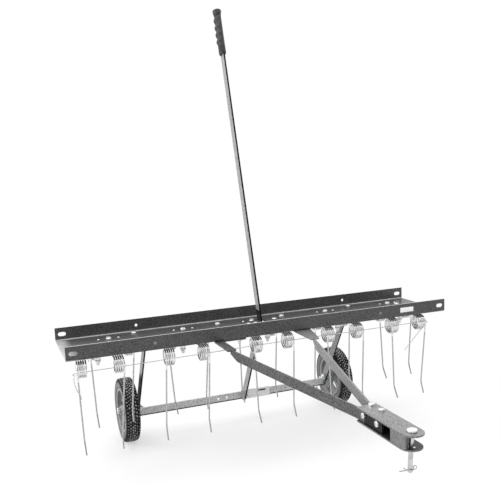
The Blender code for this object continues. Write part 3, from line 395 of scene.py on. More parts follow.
@dataclass(frozen=True)
class MouldedPlastic(Clouded):
    """Injection-moulded plastic or soft vinyl.

    The mould's spark-eroded skin gives a fine even grain, and handling or dust leaves
    slightly paler clouds on it.
    """

    roughness: float = 0.5
    cloud_mm: float = 14.0
    grain_mm: float = 0.7
    relief_mm: float = 0.05
    metallic: float = 0.0
    edges: Pair = (0.38, 0.72)
    gloss_drift: Pair = (-0.05, 0.08)
    octaves: Pair = (5.0, 1.0)
    strength: float = 0.4


@dataclass(frozen=True)
class TyreRubber(Recipe):
    """Moulded rubber of a used tyre.

    Its colour follows the distance from the axle, so the eye sees a pale sidewall, black
    grooves and block tops that are scuffed and specked with dust.
    """

    axle: Triple
    radius: float
    side: str = "#727273"
    groove: str = "#070708"
    top: str = "#b8b8b9"
    roughness: float = 0.50
    below: float = 0.016
    above: float = 0.001
    tread_from: float = 0.30
    grain_mm: float = 4.5
    uneven_mm: float = 1.6
    speck_mm: float = 5.2
    speck_edges: Pair = (0.40, 0.58)
    undusted: float = 0.12

    def nodes(self, tree: NodeTree, place: NodeSocket) -> dict:
        """Adds the rings of colour, the grain and the specks of dust.

        Args:
            tree: the material's node tree.
            place: position on the piece in metres.

        Returns:
            What each of the shader's inputs gets.
        """
        from_axle = add_node(tree, "VectorMath",
                             {"operation": "SUBTRACT", 0: place, 1: self.axle})
        upright = add_node(tree, "VectorMath", {"operation": "MULTIPLY", 0: from_axle,
                                                1: (0.0, 1.0, 1.0)})
        distance = add_node(tree, "VectorMath", {"operation": "LENGTH", 0: upright})
        grain, specks = (
            add_node(tree, "TexNoise", {"Scale": 1 / (size * MM), "Detail": octaves,
                                        "Vector": place})
            for size, octaves in ((self.grain_mm, 4.0), (self.speck_mm, 1.0)))
        uneven = add_node(tree, "Math", {"operation": "MULTIPLY_ADD", 0: grain,
                                         1: self.uneven_mm * MM,
                                         2: distance.outputs["Value"]})
        ring = add_node(tree, "MapRange", {"From Min": self.radius - self.below,
                                           "From Max": self.radius + self.above,
                                           "Value": uneven})
        colour = add_node(tree, "ValToRGB",
                          {"stops": [(0.0, self.side), (self.tread_from, self.groove),
                                     (0.78, self.groove), (0.97, self.top)], "Fac": ring})
        # Dust lies on the blocks in specks of 5 mm or so, and the rest of them stays black.
        low, high = self.speck_edges
        dust = add_node(tree, "MapRange", {"From Min": low, "From Max": high,
                                           "To Min": self.undusted, "To Max": 1.0,
                                           "Value": specks})
        tread = add_node(tree, "Math", {"operation": "GREATER_THAN", 1: self.tread_from,
                                        0: ring})
        level = add_node(tree, "MapRange", {"To Min": 1.0, "To Max": dust, "Value": tread})
        dusted = add_node(tree, "VectorMath",
                          {"operation": "SCALE", 0: colour, "Scale": level})
        bump = add_node(tree, "Bump",
                        {"Strength": 0.4, "Distance": 0.08 * MM, "Height": grain})
        return {"Roughness": self.roughness, "Base Color": dusted, "Normal": bump}


class Finish(Enum):
    """Every finish of the machine, each made once, when a piece first asks for it."""

    # Charcoal enamel with a painted highlight along the flanges' top edges and a painted pool
    # of light at the floor's left end.
    TRAY = HammeredPaint("hammered_enamel_charcoal", "#313132", "#5f5f60",
                         highlight_above=0.0384)
    # Darker, shaded copy of the drawbars' silver-grey enamel on the left drawbar, with black
    # painted shade where it enters between the hitch's plates.
    DARK_BAR = HammeredPaint("hammered_enamel_shaded_copy", "#3a3a3b", "#78787a", specular=0.25,
                             shade_band=(-1.0, -0.729), shade_along="Y", shade_colour="#0b0b0c")
    # Silver-grey enamel of the right drawbar and arm.
    LIGHT_BAR = HammeredPaint("hammered_enamel_silver", "#696969", "#9b9b9b")
    # The same enamel on the left arm, with painted shade on its lower part, beside the wheel.
    SHADED_ARM = HammeredPaint("hammered_enamel_wheel_shade", "#696969", "#9b9b9b",
                              shade_band=(-0.4, -0.158), shade_fade=0.020)
    # Palest enamel, with a painted shade line along the crossbar's lower edge.
    CROSSBAR = HammeredPaint("hammered_enamel_pale", "#b4b4b4", "#f4f4f4", metallic=0.1,
                             shade_band=(-0.4, -0.3184), shade_fade=0.0006)
    # Glossier pale enamel of the lever, with painted shade where it passes down through the
    # tray, from just under the floor to near the flanges' tops.
    LEVER = HammeredPaint("hammered_enamel_lever", "#808080", "#b8b8b8", roughness=0.30,
                          shade_band=(-0.020, 0.033))
    # Mid grey enamel of the hitch and the brackets.
    HITCH = HammeredPaint("hammered_enamel_hitch", "#6a6a6a", "#949494")
    # Painted shade on the upward faces low in the hitch's mouth, under its top plate.
    MOUTH_SHADE = HammeredPaint("hammered_enamel_shaded", "#1c1c1d", "#3c3c3d", specular=0.2)
    # Black matt painted shade on the front-facing faces of lever and arms and on the film in
    # the foot's slot.
    SHADE_BLACK = HammeredPaint("painted_shade_black", "#0b0b0c", "#1d1d1e", specular=0.1,
                          shade_band=(-1.0, 2.0), shade_colour="#121213")
    # Nearly white steel of the lever's foot.
    FOOT = PlatedSteel("bare_bright_steel", "#f6f6f6", "#ffffff", roughness=0.5,
                       metallic=0.0)
    # Painted highlight: a thin pale line along the bend behind the floor.
    CREASE = PlatedSteel("painted_crease_highlight", "#8e8e8e", "#b4b4b4", roughness=0.5,
                         metallic=0.1)
    # Bright plating of bolts, nuts and studs.
    ZINC = PlatedSteel("bright_zinc_plate", "#dfe1e3", "#f6f7f8", metallic=0.85)
    # Prongs: grey plated wire.
    SPRING = PlatedSteel("zinc_plated_spring_wire", "#aeaeae", "#c2c2c2", roughness=0.22,
                         cloud_mm=7.0, metallic=0.8)
    # Coils: the same wire in a brighter, glossier copy; the brighter colour is a painted
    # highlight.
    LIT_COIL = PlatedSteel("zinc_plated_spring_coil_lit", "#cecece", "#f0f0f0", roughness=0.17,
                       cloud_mm=7.0, metallic=0.95)
    # Bright drawn pin and clip.
    PIN = PlatedSteel("drawn_pin_steel", "#babbbc", "#d2d3d4", roughness=0.22, cloud_mm=9.0)
    # Dull zinc of the thin retaining wires.
    KEEPER = PlatedSteel("galvanised_wire", "#c2c2c2", "#e0e0e0", roughness=0.40,
                         cloud_mm=6.0, metallic=0.5)
    # Dusty black rubber.
    TYRE = TyreRubber("dusty_tyre_rubber", (0.0, *WHEEL_AXIS), WHEEL_RADIUS)
    # Mid grey nylon of the hubs.
    HUB = MouldedPlastic("glass_filled_nylon_grey", "#8c8d8e", "#b0b1b2", roughness=0.38)
    # Black vinyl of the grip, with a coarse grain.
    GRIP = MouldedPlastic("soft_pvc_black", "#161617", "#3c3c3d", grain_mm=2.2,
                          roughness=0.44, relief_mm=0.35)
    # Plain white film of the sticker.
    LABEL = MouldedPlastic("matt_vinyl_white", "#fafafa", "#ffffff", roughness=0.42,
                           relief_mm=0.01)

    def material(self) -> Material:
        """The finish's one material."""
        return bpy.data.materials.get(self.value.name) or self.value.make()


# Surfaces


def unit(vectors: np.ndarray) -> np.ndarray:
    """The vectors, or the one vector, at a length of 1."""
    return vectors / np.linalg.norm(vectors, axis=-1, keepdims=True)


def round_turn(points: int) -> np.ndarray:
    """Angles of points spread evenly round a full turn."""
    return np.linspace(0.0, FULL_TURN, points, endpoint=False)


def link_object(name: str, data: ID) -> Object:
    """Puts new data into the scene as an object at the origin.

    Args:
        name: the object's name.
        data: a mesh, a lamp or a lens.

    Returns:
        The object.
    """
    thing = bpy.data.objects.new(name, data)
    bpy.context.scene.collection.objects.link(thing)
    return thing


def smooth(piece: Object, sharp: float) -> None:
    """Shades a piece smooth, with edges past the angle in degrees kept sharp."""
    piece.data.shade_smooth()
    piece.data.set_sharp_from_angle(angle=math.radians(sharp))


def surface(name: str, *grids: np.ndarray, sharp: float = 32.0) -> Object:
    """Makes an object of grids of points, each joined up round its columns.

    A face joins the points (i, j), (i+1, j), (i+1, j+1) and (i, j+1). Points that coincide
    are then merged, which closes poles and rings, and every shell is turned outwards.

    Args:
        name: object's name.
        grids: rows by columns by 3 coordinates.
        sharp: angle in degrees past which an edge stays sharp.

    Returns:
        The object, at the origin.
    """
    blocks, count = [], 0
    for grid in grids:
        rows, columns = grid.shape[:2]
        index = np.arange(rows * columns).reshape(rows, columns) + count
        index = np.hstack([index, index[:, :1]])
        blocks.append(np.stack([index[:-1, :-1], index[1:, :-1], index[1:, 1:],
                                index[:-1, 1:]], axis=-1).reshape(-1, 4))
        count += rows * columns
    points = np.concatenate([grid.reshape(-1, 3) for grid in grids]).astype(np.float32)
    faces = np.concatenate(blocks).astype(np.int32)
    mesh = bpy.data.meshes.new(name)
    mesh.vertices.add(len(points))
    mesh.vertices.foreach_set("co", points.ravel())
    mesh.loops.add(faces.size)
    mesh.loops.foreach_set("vertex_index", faces.ravel())
    mesh.polygons.add(len(faces))
    mesh.polygons.foreach_set("loop_start", np.arange(len(faces), dtype=np.int32) * 4)
    mesh.update(calc_edges=True)
    work = bmesh.new()
    work.from_mesh(mesh)
    bmesh.ops.remove_doubles(work, verts=work.verts, dist=0.02 * MM)
    bmesh.ops.dissolve_degenerate(work, edges=work.edges, dist=0.005 * MM)
    bmesh.ops.recalc_face_normals(work, faces=work.faces)
    work.to_mesh(mesh)
    work.free()
    piece = link_object(name, mesh)
    smooth(piece, sharp)
    return piece


def ring_closed(grid: np.ndarray) -> np.ndarray:
    """Repeats a grid's first row after its last, so that its rows close in a ring."""
    return np.concatenate([grid, grid[:1]])


def curve_through(points: np.ndarray, steps: int) -> np.ndarray:
    """Smooth line through points by the Catmull-Rom formula.

    Between points p1 and p2, with neighbours p0 and p3 and t from 0 to 1, it is half of
    2 p1 + (p2 - p0) t + (2 p0 - 5 p1 + 4 p2 - p3) t^2 + (3 p1 - p0 - 3 p2 + p3) t^3.

    Args:
        points: points of the line, in order.
        steps: steps between two of them.

    Returns:
        Points of the finer line, ends included.
    """
    line = np.vstack([2 * points[0] - points[1], points, 2 * points[-1] - points[-2]])
    p0, p1, p2, p3 = (line[i:len(line) - 3 + i, None, :] for i in range(4))
    t = np.linspace(0.0, 1.0, steps, endpoint=False)[None, :, None]
    fine = 0.5 * (2 * p1 + (p2 - p0) * t + (2 * p0 - 5 * p1 + 4 * p2 - p3) * t ** 2
                  + (3 * p1 - p0 - 3 * p2 + p3) * t ** 3)
    return np.vstack([fine.reshape(-1, points.shape[1]), points[-1:]])


def carried_frames(path: np.ndarray) -> tuple[np.ndarray, np.ndarray]:
    """Two directions across a path at each station, carried along without twist.

    Each normal is the one before it less its part along the new tangent.

    Args:
        path: stations of the path.

    Returns:
        Normals and binormals, one of each a station.
    """
    tangent = unit(np.gradient(path, axis=0))
    seed = np.eye(3)[np.argmin(np.abs(tangent[0]))]
    normal = np.empty_like(path)
    for i, along in enumerate(tangent):
        seed = unit(seed - along * np.dot(seed, along))
        normal[i] = seed
    return normal, np.cross(tangent, normal)


def tube(path: np.ndarray, radius: float, sides: int) -> np.ndarray:
    """Round bar along a path, with slightly eased ends.

    A point is path + r (normal cos a + binormal sin a). The radius r is zero at both ends,
    0.8 of the full one on the end faces and full a fifth of a radius further in.

    Args:
        path: stations of the path.
        radius: of the bar.
        sides: facets round it.

    Returns:
        Grid of the surface, closed at both ends.
    """
    normal, across = carried_frames(path)
    ease = 0.2 * radius
    start = path[0] + unit(path[1] - path[0]) * ease
    end = path[-1] + unit(path[-2] - path[-1]) * ease
    stations = np.vstack([path[:1], path[:1], start, path[1:-1], end, path[-1:], path[-1:]])
    rows = np.r_[0, 0, 0:len(path), len(path) - 1, len(path) - 1]
    size = np.full(len(stations), radius)
    size[[0, -1]] = 0.0
    size[[1, -2]] = 0.8 * radius
    angle = round_turn(sides)
    ring = (normal[rows][:, None, :] * np.cos(angle)[None, :, None]
            + across[rows][:, None, :] * np.sin(angle)[None, :, None])
    return stations[:, None, :] + ring * size[:, None, None]


def turned(profile: np.ndarray, sides: int) -> np.ndarray:
    """Surface of revolution about Z.

    A point is (r cos a, r sin a, h) for each (h, r) of the profile.

    Args:
        profile: heights and radii, in order.
        sides: facets round it.

    Returns:
        Grid of the surface.
    """
    angle = round_turn(sides)
    height, radius = (column[:, None] * np.ones(sides) for column in np.array(profile).T)
    return np.stack([radius * np.cos(angle), radius * np.sin(angle), height], axis=-1)


def laid(grid: np.ndarray, axis: Axis, at: Triple) -> np.ndarray:
    """Lays a grid's own +Z along an axis and moves its origin to a point."""
    turn = Vector((0.0, 0.0, 1.0)).rotation_difference(Vector(axis.value)).to_matrix()
    return grid @ np.array(turn).T + np.array(at)


def film(span_x: Pair, span_z: Pair, face: float, thick: float,
         corner: float = 0.0016) -> np.ndarray:
    """Thin film on a face that looks to the front.

    Its outline is a rounded rectangle: a corner point is the centre plus a quarter circle.
    Rings of the outline, shrunk to the middle on both sides, close it.

    Args:
        span_x: left and right ends.
        span_z: lower and upper ends.
        face: place of the face along Y.
        thick: how far the film stands off the face.
        corner: radius of its corners.

    Returns:
        Grid of the surface.
    """
    points = 32
    sunk = -0.02 * MM
    angle = round_turn(points) + FULL_TURN / (4 * points)
    middle = np.array([np.mean(span_x), np.mean(span_z)])
    half = np.array([np.ptp(span_x), np.ptp(span_z)]) / 2 - corner
    circle = np.stack([np.cos(angle), np.sin(angle)], axis=-1)
    outline = np.sign(circle) * half + corner * circle
    rings = []
    for size, lift in ((0.0, sunk), (1.0, sunk), (1.0, 0.8 * thick), (0.992, thick),
                       (0.0, thick)):
        x, z = (middle + size * outline).T
        rings.append(np.stack([x, np.full(points, face - lift), z], axis=-1))
    return np.array(rings)


# Dressing


def settle(piece: Object, body: Body, slot: str, finish: Finish,
           *stands_for: str) -> Object:
    """Dresses a piece, ties it to its body and hides the solids it stands for.

    Args:
        piece: finished object.
        body: what it rides on.
        slot: the record's material slot; not used.
        finish: its finish.
        stands_for: CAD nodes that it replaces.

    Returns:
        The same piece.
    """
    piece.data.materials.clear()
    piece.data.materials.append(finish.material())
    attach(piece, body.value)
    if stands_for:
        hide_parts(*stands_for)
    LOG.info("%s rides on %s", piece.name, body.value)
    return piece


def plate(node: str, name: str, body: Body, slot: str, finish: Finish,
          width: float = 0.5 * MM) -> Object:
    """Copy of a packed plate with its cut edges rounded over, in the plate's place.

    The copy's loose triangles are merged and its flat faces joined, and a bevel of the
    given width runs along every edge sharper than 35 degrees.

    Args:
        node: CAD node to copy and stand for.
        name: the new piece's name.
        body: what it rides on.
        slot: the record's material slot.
        finish: its finish.
        width: of the rounding.

    Returns:
        The new object.
    """
    work = bmesh.new()
    work.from_mesh(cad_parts[node].data)
    bmesh.ops.remove_doubles(work, verts=work.verts, dist=0.01 * MM)
    bmesh.ops.dissolve_limit(work, angle_limit=math.radians(0.5), verts=work.verts,
                             edges=work.edges)
    mesh = bpy.data.meshes.new(name)
    work.to_mesh(mesh)
    work.free()
    piece = link_object(name, mesh)
    smooth(piece, 32.0)
    bevel = piece.modifiers.new("Eased_edges", "BEVEL")
    bevel.width = width
    bevel.segments = 2
    bevel.limit_method = "ANGLE"
    bevel.angle_limit = math.radians(35.0)
    bevel.use_clamp_overlap = False
    bevel.harden_normals = True
    return settle(piece, body, slot, finish, node)


def repaint(piece: Object, finish: Finish, where: Callable[[MeshPolygon], bool]) -> None:
    """Gives a further finish to some faces of a piece.

    Args:
        piece: dressed piece.
        finish: the further finish.
        where: test of a face that is true where that finish goes.
    """
    piece.data.materials.append(finish.material())
    for face in piece.data.polygons:
        if where(face):
            face.material_index = len(piece.data.materials) - 1


def front_edge(face: MeshPolygon) -> bool:
    """Whether a face looks to the front."""
    return face.normal.y < -0.7


# Fasteners


# Heights above the clamped face and distances in from the rim, in mm, of the rounded edge of
# a head's washer; the same downwards for a nut's flange and inwards for a sleeve's end.
WASHER_EDGE = ((1.8, 0.9), (1.3, 0.2), (0.8, 0.0), (0.4, 0.1), (0.2, 0.6))
FLANGE_EDGE = ((0.0, 0.4), (0.3, 0.0), (1.1, 0.0), (1.5, 0.3))
SLEEVE_EDGE = ((0.3, 0.5), (0.8, 0.0))
# Share of the pitch and of the radius at the stations of one thread.
THREAD = ((0.15, 1.0), (0.35, 0.90), (0.60, 0.90), (0.85, 1.0))
# Drops as shares of the chamfer's height, and shares of half the flats, on a head's top.
HEAD_TOP = ((0.0, 0.0), (0.0, 0.88), (0.12, 0.93))
# Rises in mm and shares of the radius at the end of a tail.
TAIL_END = ((0.6, 0.97), (0.0, 0.80), (0.0, 0.0))
# Corner radius of a hexagon over the radius to its flats.
CORNER = 1.1548
# Stations of a hexagon's chamfer as shares of its height.
CHAMFER = (0.25, 0.5, 0.75, 1.0)


@dataclass
class HexBolt:
    """Hex bolt with its nut, turned about Z with the head up.

    Heights are measured from the face under the head. On a hexagonal station the radius at
    angle a is the smaller of the cap and apothem / cos(a'), where a' is a folded to within
    30 degrees of the nearest flat's middle. A brim is the radius of a washer on the head,
    and a sleeve is a start and a length below the head. The collar's heights are of the
    hexagon's start inside a nut's flange, of the flange's neck and of the free hexagon.
    """

    node: str
    at: Triple
    axis: Axis
    grip: float
    shank: float = 0.004
    flats: float = 0.0127
    head: float = 0.0053
    nut: float = 0.0068
    tail: float = 0.0065
    brim: float = 0.0
    flange: bool = False
    flange_r: float = 0.0088
    sleeves: tuple[Pair, ...] = ()
    sleeve_r: float = 0.0080
    turn: float = 0.0
    pitch: float = 0.00125
    gap: float = 0.0003
    seat: float = 0.0002
    washer: float = 0.0024
    collar: Triple = (0.0009, 0.0026, 0.0033)
    sides: int = 48
    body: Body = Body.FRAME

    def stations(self) -> list[Triple]:
        """Stations from the top of the head down to the end of the tail.

        Returns:
            Height, cap and apothem of each, with a zero apothem where the bolt is round.
        """
        a = self.flats / 2
        ease = 0.085 * self.flats
        big = CORNER * a
        chamfer = [(ease * s, (0.95 + 0.205 * s ** 0.8) * a, a) for s in CHAMFER]
        rows = [(self.head - drop * ease, cap * a, 0) for drop, cap in HEAD_TOP]
        rows += [(self.head - drop, cap, flat) for drop, cap, flat in chamfer]
        if self.brim:
            rows.append((self.washer, big, a))
            rows += [(z * MM, self.brim - inset * MM, 0) for z, inset in WASHER_EDGE]
        else:
            rows += [(self.seat + 0.5 * MM, big, a), (self.seat + 0.3 * MM, 0.97 * a, 0),
                     (self.seat, 0.97 * a, 0)]
        rows.append((self.seat, self.shank, 0))
        for start, length in self.sleeves:
            top, low = -start, -start - length
            rows.append((top - self.gap, self.shank, 0))
            rows += [(top - z * MM, self.sleeve_r - inset * MM, 0) for z, inset in SLEEVE_EDGE]
            rows += [(low + z * MM, self.sleeve_r - inset * MM, 0)
                     for z, inset in SLEEVE_EDGE[::-1]]
            rows.append((low + self.gap, self.shank, 0))
        z = -self.grip - self.gap
        rows.append((z, self.shank, 0))
        if self.flange:
            rows += [(z - drop * MM, self.flange_r - inset * MM, 0)
                     for drop, inset in FLANGE_EDGE]
            start, neck, free = self.collar
            rows += [(z - neck, 1.02 * big, 0), (z - free, big, a)]
            z -= start
        else:
            rows += [(z, 0.93 * a, 0), (z - 0.12 * ease, 0.95 * a, a), (z - ease, big, a)]
        bottom = z - self.nut
        rows += [(bottom + rise, cap, flat) for rise, cap, flat in chamfer[::-1]]
        rows += [(bottom, 0.90 * a, 0), (bottom, self.shank * 1.06, 0),
                 (bottom + 0.4 * MM, self.shank, 0)]
        rows += [(bottom - self.pitch * (i + along), self.shank * size, 0)
                 for i in range(int(self.tail / self.pitch)) for along, size in THREAD]
        end = bottom - self.tail
        return rows + [(end + rise * MM, self.shank * size, 0) for rise, size in TAIL_END]

    def build(self) -> None:
        """Makes the fastener and puts it in the place of its node."""
        heights, caps, apothems = (column[:, None] for column in np.array(self.stations()).T)
        angle = round_turn(self.sides)
        fold = np.mod(angle + np.pi / 6, np.pi / 3) - np.pi / 6
        radius = np.where(apothems > 0, np.minimum(caps, apothems / np.cos(fold)), caps)
        spin = angle + math.radians(self.turn)
        grid = np.stack([radius * np.cos(spin), radius * np.sin(spin),
                         heights * np.ones(self.sides)], axis=-1)
        settle(surface("fastener_" + self.node, laid(grid, self.axis, self.at), sharp=28.0),
               self.body, "zinc_fasteners", Finish.ZINC, self.node)


# Tray


@dataclass
class Tray:
    """Bent steel channel with its brackets, bolts, studs, plugs and blank label."""

    depth: float = 0.2485
    edge: float = 0.0006
    crease: Pair = (0.11875, 0.003)
    crease_r: float = 0.0035
    stud_reach: float = 0.030
    stud_r: float = 0.0034
    stud_h: float = 0.0016
    stem_r: float = 0.0024
    stem: float = 0.0045
    slot_half: float = 0.0125
    plugs: tuple[Pair, ...] = ((0.076, 0.060), (0.54, 0.052))
    plug_r: float = 0.0080
    plug_h: float = 0.0022
    plug_seat: float = 0.0005
    stud_sides: int = 20
    plug_sides: int = 28
    bracket_bolt: Pair = (0.377, 0.105)
    bracket_grip: float = 0.0058
    feet: tuple[tuple[str, float, float], ...] = (("rear", 0.112, 0.0815),
                                                  ("front", 0.106, -0.098))
    foot_grip: float = 0.0078
    brim: float = 0.0088
    bracket_face: float = 0.3558
    pivot: Pair = (0.085, -0.032)
    pivot_grip: float = 0.0083
    label_x: Pair = (0.4385, 0.4880)
    label_z: Pair = (0.0110, 0.0265)

    def build(self) -> None:
        """Builds the channel, brackets, studs, label and bolts."""
        channel = plate("tray", "tray_channel", Body.FRAME, "tray_paint", Finish.TRAY,
                        self.edge)
        y, z = self.crease
        # Painted highlight along the inner bend behind the floor.
        repaint(channel, Finish.CREASE,
                lambda face: math.hypot(face.center.y - y, face.center.z - z) < self.crease_r)
        for side in Side:
            plate("pivot_bracket_" + side.word(), "bracket_" + side.word(), Body.FRAME,
                  "dark_grey_paint", Finish.HITCH, 0.4 * MM)
        self.studs()
        settle(surface("blank_label",
                       film(self.label_x, self.label_z, -self.depth / 2, 0.15 * MM)),
               Body.FRAME, "hub_plastic", Finish.LABEL)
        self.bolts()

    def studs(self) -> None:
        """Low domed studs beside each tine bolt, and two wider plugs in the floor.

        A dome's profile is a quarter ellipse, r = R cos t and h = H sin t. Under a stud there
        is a stem. No stud stands where the lever's slot is."""
        t = np.linspace(0.0, np.pi / 2, 7)
        dome = np.stack([np.sin(t), np.cos(t)], axis=-1)
        stem = [(-self.stem, 0.0), (-self.stem, self.stem_r), (0.0, self.stem_r),
                (0.0, self.stud_r)]
        stud = turned(np.vstack([stem, dome * [self.stud_h, self.stud_r]]),
                      self.stud_sides)
        seat = [(-self.plug_seat, 0.0), (-self.plug_seat, self.plug_r)]
        plug = turned(np.vstack([seat, dome * [self.plug_h, self.plug_r]]),
                      self.plug_sides)
        spots = [(x + side.value * self.stud_reach, y) for _, x, y, *_ in TINES.places()
                 for side in Side]
        grids = [stud + np.array([x, y, 0.0]) for x, y in spots
                 if y < 0 or abs(x - LEVER_X) > self.slot_half]
        grids += [plug + np.array([*place, 0.0]) for place in self.plugs]
        settle(surface("locating_studs", *grids), Body.FRAME, "zinc_fasteners", Finish.ZINC)

    def bolts(self) -> None:
        """Bolts through the floor into the brackets and the drawbars' feet."""
        for side in Side:
            sign, word = side.value, side.word()
            x, y = self.bracket_bolt
            HexBolt("bracket_bolt_" + word, (sign * x, y, 0.0), Axis.UP, self.bracket_grip,
                    tail=0.003, flange=True, brim=self.brim, turn=11.0 * sign).build()
            for end, x, y in self.feet:
                HexBolt("drawbar_bolt_%s_%s" % (word, end), (sign * x, y, 0.0), Axis.UP,
                        self.foot_grip, flange=True, brim=self.brim,
                        turn=17.0 + 23.0 * sign).build()
            HexBolt("pivot_bolt_" + word, (sign * self.bracket_face, *self.pivot),
                    side.out(), self.pivot_grip, shank=0.0047, tail=0.002, turn=8.0).build()


# Tines


@dataclass
class SpringTines:
    """Double spring tines, their bolts and the retaining wires through their coils."""

    wire: float = 0.0022
    coil_r: float = 0.0225
    turns: float = 4.25
    coil_width: float = 0.0255
    coil_inner: float = 0.0385
    coil_back: float = 0.030
    bridge_back: float = 0.0068
    corner: float = 0.010
    front_prong: float = 0.1983
    rear_prong: float = 0.1863
    prong_back: float = 0.008
    tip: float = 0.034
    tip_forward: float = 0.0172
    bend: float = 0.010
    gap: float = 0.0003
    spacer: float = 0.0055
    sleeve: float = 0.0090
    brim: float = 0.0088
    row_y: float = 0.0708
    front_x: tuple[float, ...] = (-0.518, -0.272, -0.004, 0.238, 0.471)
    rear_x: tuple[float, ...] = (-0.461, -0.229, 0.002, 0.269, 0.515)
    front_leans: tuple[tuple[int, int], ...] = ((9, 18), (-9, 9), (10, 3), (15, 4), (12, 16))
    rear_leans: tuple[tuple[int, int], ...] = ((11, 15), (18, 14), (6, 8), (-3, 2), (18, 9))
    keeper: float = 0.0011
    keeper_forward: float = 0.0155
    keeper_drop: float = 0.0020
    keeper_rows: int = 13
    front_drops: Triple = (0.0058, -0.0025, -0.0025)

    def places(self) -> list[tuple[str, float, float, float, float, tuple[int, int]]]:
        """Where the tines are.

        Returns:
            Name, place of the bolt along X and Y, spacer, length of the prongs, and how far
            the left and the right tip stand inwards in mm, for each tine.
        """
        rows = (("front", self.front_x, self.front_leans, -self.row_y, self.spacer,
                 self.front_prong),
                ("rear", self.rear_x, self.rear_leans, self.row_y, 0.0, self.rear_prong))
        return [("%s_%d" % (row, i + 1), x, y, spacer, prong, lean)
                for row, xs, leans, y, spacer, prong in rows
                for i, (x, lean) in enumerate(zip(xs, leans))]

    def level(self, spacer: float) -> float:
        """Height of a bridge's middle line under the floor, below its spacer."""
        return -SHEET - self.gap - self.wire - spacer

    def half(self, lean: float, prong: float) -> np.ndarray:
        """Line of the right half of a tine, from the middle of its bridge to its tip.

        The bridge turns a quarter circle into a straight run to the coil. On the coil, with
        s from 0 to the number of turns, x = inner + width s / turns, y = -back + R cos a
        and z = -R + R sin a, where a = 90 degrees + 360 s. The prong then falls to its knee
        and its tip, with a quadratic curve round the knee: (1-t)^2 p + 2 t (1-t) k + t^2 q.

        Args:
            lean: how far the tip stands inwards of the coil's outer end.
            prong: height from the coil's outer end down to the knee.

        Returns:
            Stations of the line about the tine's own bolt.
        """
        inner, c = self.coil_inner, self.corner
        a = np.linspace(np.pi / 2, 0.0, 9)
        turn = np.stack([inner - c + c * np.cos(a), self.bridge_back - c + c * np.sin(a),
                         0.0 * a], axis=-1)
        bridge = np.linspace([0.0, self.bridge_back, 0.0], turn[0], 5)[:-1]
        run = np.linspace(turn[-1], [inner, -self.coil_back, 0.0], 6)[1:-1]
        s = np.linspace(0.0, self.turns, int(self.turns * 40) + 1)
        a = np.pi / 2 + FULL_TURN * s
        coil = np.stack([inner + self.coil_width * s / self.turns,
                         -self.coil_back + self.coil_r * np.cos(a),
                         -self.coil_r + self.coil_r * np.sin(a)], axis=-1)
        share = prong / (prong + self.tip)
        knee = coil[-1] + np.array([-lean * share, self.prong_back, -prong])
        end = knee + np.array([-lean * (1 - share), -self.tip_forward, -self.tip])
        p, q = (knee + unit(way - knee) * self.bend for way in (coil[-1], end))
        t = np.linspace(0.0, 1.0, 9)[:, None]
        rounded = (1 - t) ** 2 * p + 2 * t * (1 - t) * knee + t ** 2 * q
        upper = np.linspace(coil[-1], p, 14)[1:-1]
        lower = np.linspace(q, end, 4)[1:]
        return np.vstack([bridge, turn, run, coil, upper, rounded, lower])

    def build(self) -> None:
        """Builds the ten tines with their bolts, and the wires through them."""
        for name, x, y, spacer, prong, leans in self.places():
            left, right = (self.half(lean * MM, prong) for lean in leans)
            line = np.vstack([left[::-1] * [-1.0, 1.0, 1.0], right[1:]])
            line += [x, y, self.level(spacer)]
            tine = settle(surface("spring_" + name, tube(line, self.wire, 12)), Body.FRAME,
                          "spring_wire", Finish.SPRING, "tine_" + name)
            coil_low = self.level(spacer) - 2 * self.coil_r
            # Brighter copy of the wire on the coils and bridges, a painted highlight.
            repaint(tine, Finish.LIT_COIL, lambda face: face.center.z > coil_low)
            grip = SHEET + spacer + 2 * self.wire + self.gap
            sleeves = ()
            if spacer > 0:
                sleeves = ((SHEET, spacer), (grip, self.sleeve))
                grip += self.sleeve
            HexBolt("tine_bolt_" + name, (x, y, 0.0), Axis.UP, grip, sleeves=sleeves,
                    flange=spacer > 0, brim=self.brim, turn=(x * 900.0) % 60.0).build()
        self.keepers()

    def keepers(self) -> None:
        """Thin wires through the coils of each row, with their bent tails.

        A wire is a straight run with a tail of points in mm from each end, all joined by a
        smooth curve."""
        reach = self.coil_inner + self.coil_width + self.wire + 2 * self.keeper
        inner = self.coil_inner - 3 * self.wire
        middle = self.rear_x[2]
        even = (self.keeper_drop, self.keeper_drop)
        runs = (
            ("front", -self.row_y, self.spacer,
             (self.front_x[0] - reach, self.front_x[2], self.front_x[-1] + reach),
             self.front_drops,
             [(-2, 0, -7.5), (-5, 1, -16), (-1, 2, -41), (8.5, 3, -61), (12, 4, -75)],
             [(3, 2, -8), (2, 8, -18), (-6, 11, -26.5), (-16, 11, -34), (-72, 13, -90)]),
            ("rear_left", self.row_y, 0.0, (self.rear_x[0] - reach, middle - inner), even,
             [(-2, 0, -4), (-3, 1, -12), (1, 4, -22)], [(3, 0, -4), (3, 0, -12)]),
            ("rear_right", self.row_y, 0.0, (middle + inner, self.rear_x[-1] + reach), even,
             [(-3, 0, -4), (-3, 0, -12)], [(3, 0, -4), (4, 2, -12), (-3, 6, -24)]),
        )
        for name, row_y, spacer, xs, drops, left, right in runs:
            axis_z = self.level(spacer) - self.coil_r
            x = np.linspace(xs[0], xs[-1], self.keeper_rows)
            y = np.full_like(x, row_y - self.coil_back - self.keeper_forward)
            straight = np.stack([x, y, axis_z - np.interp(x, xs, drops)], axis=-1)
            line = np.vstack([straight[0] + np.array(left[::-1]) * MM, straight,
                              straight[-1] + np.array(right) * MM])
            settle(surface("keeper_" + name, tube(curve_through(line, 6), self.keeper, 8)),
                   Body.FRAME, "retaining_wire", Finish.KEEPER, "retaining_wire_" + name)


TINES = SpringTines()


# Lift lever and arms


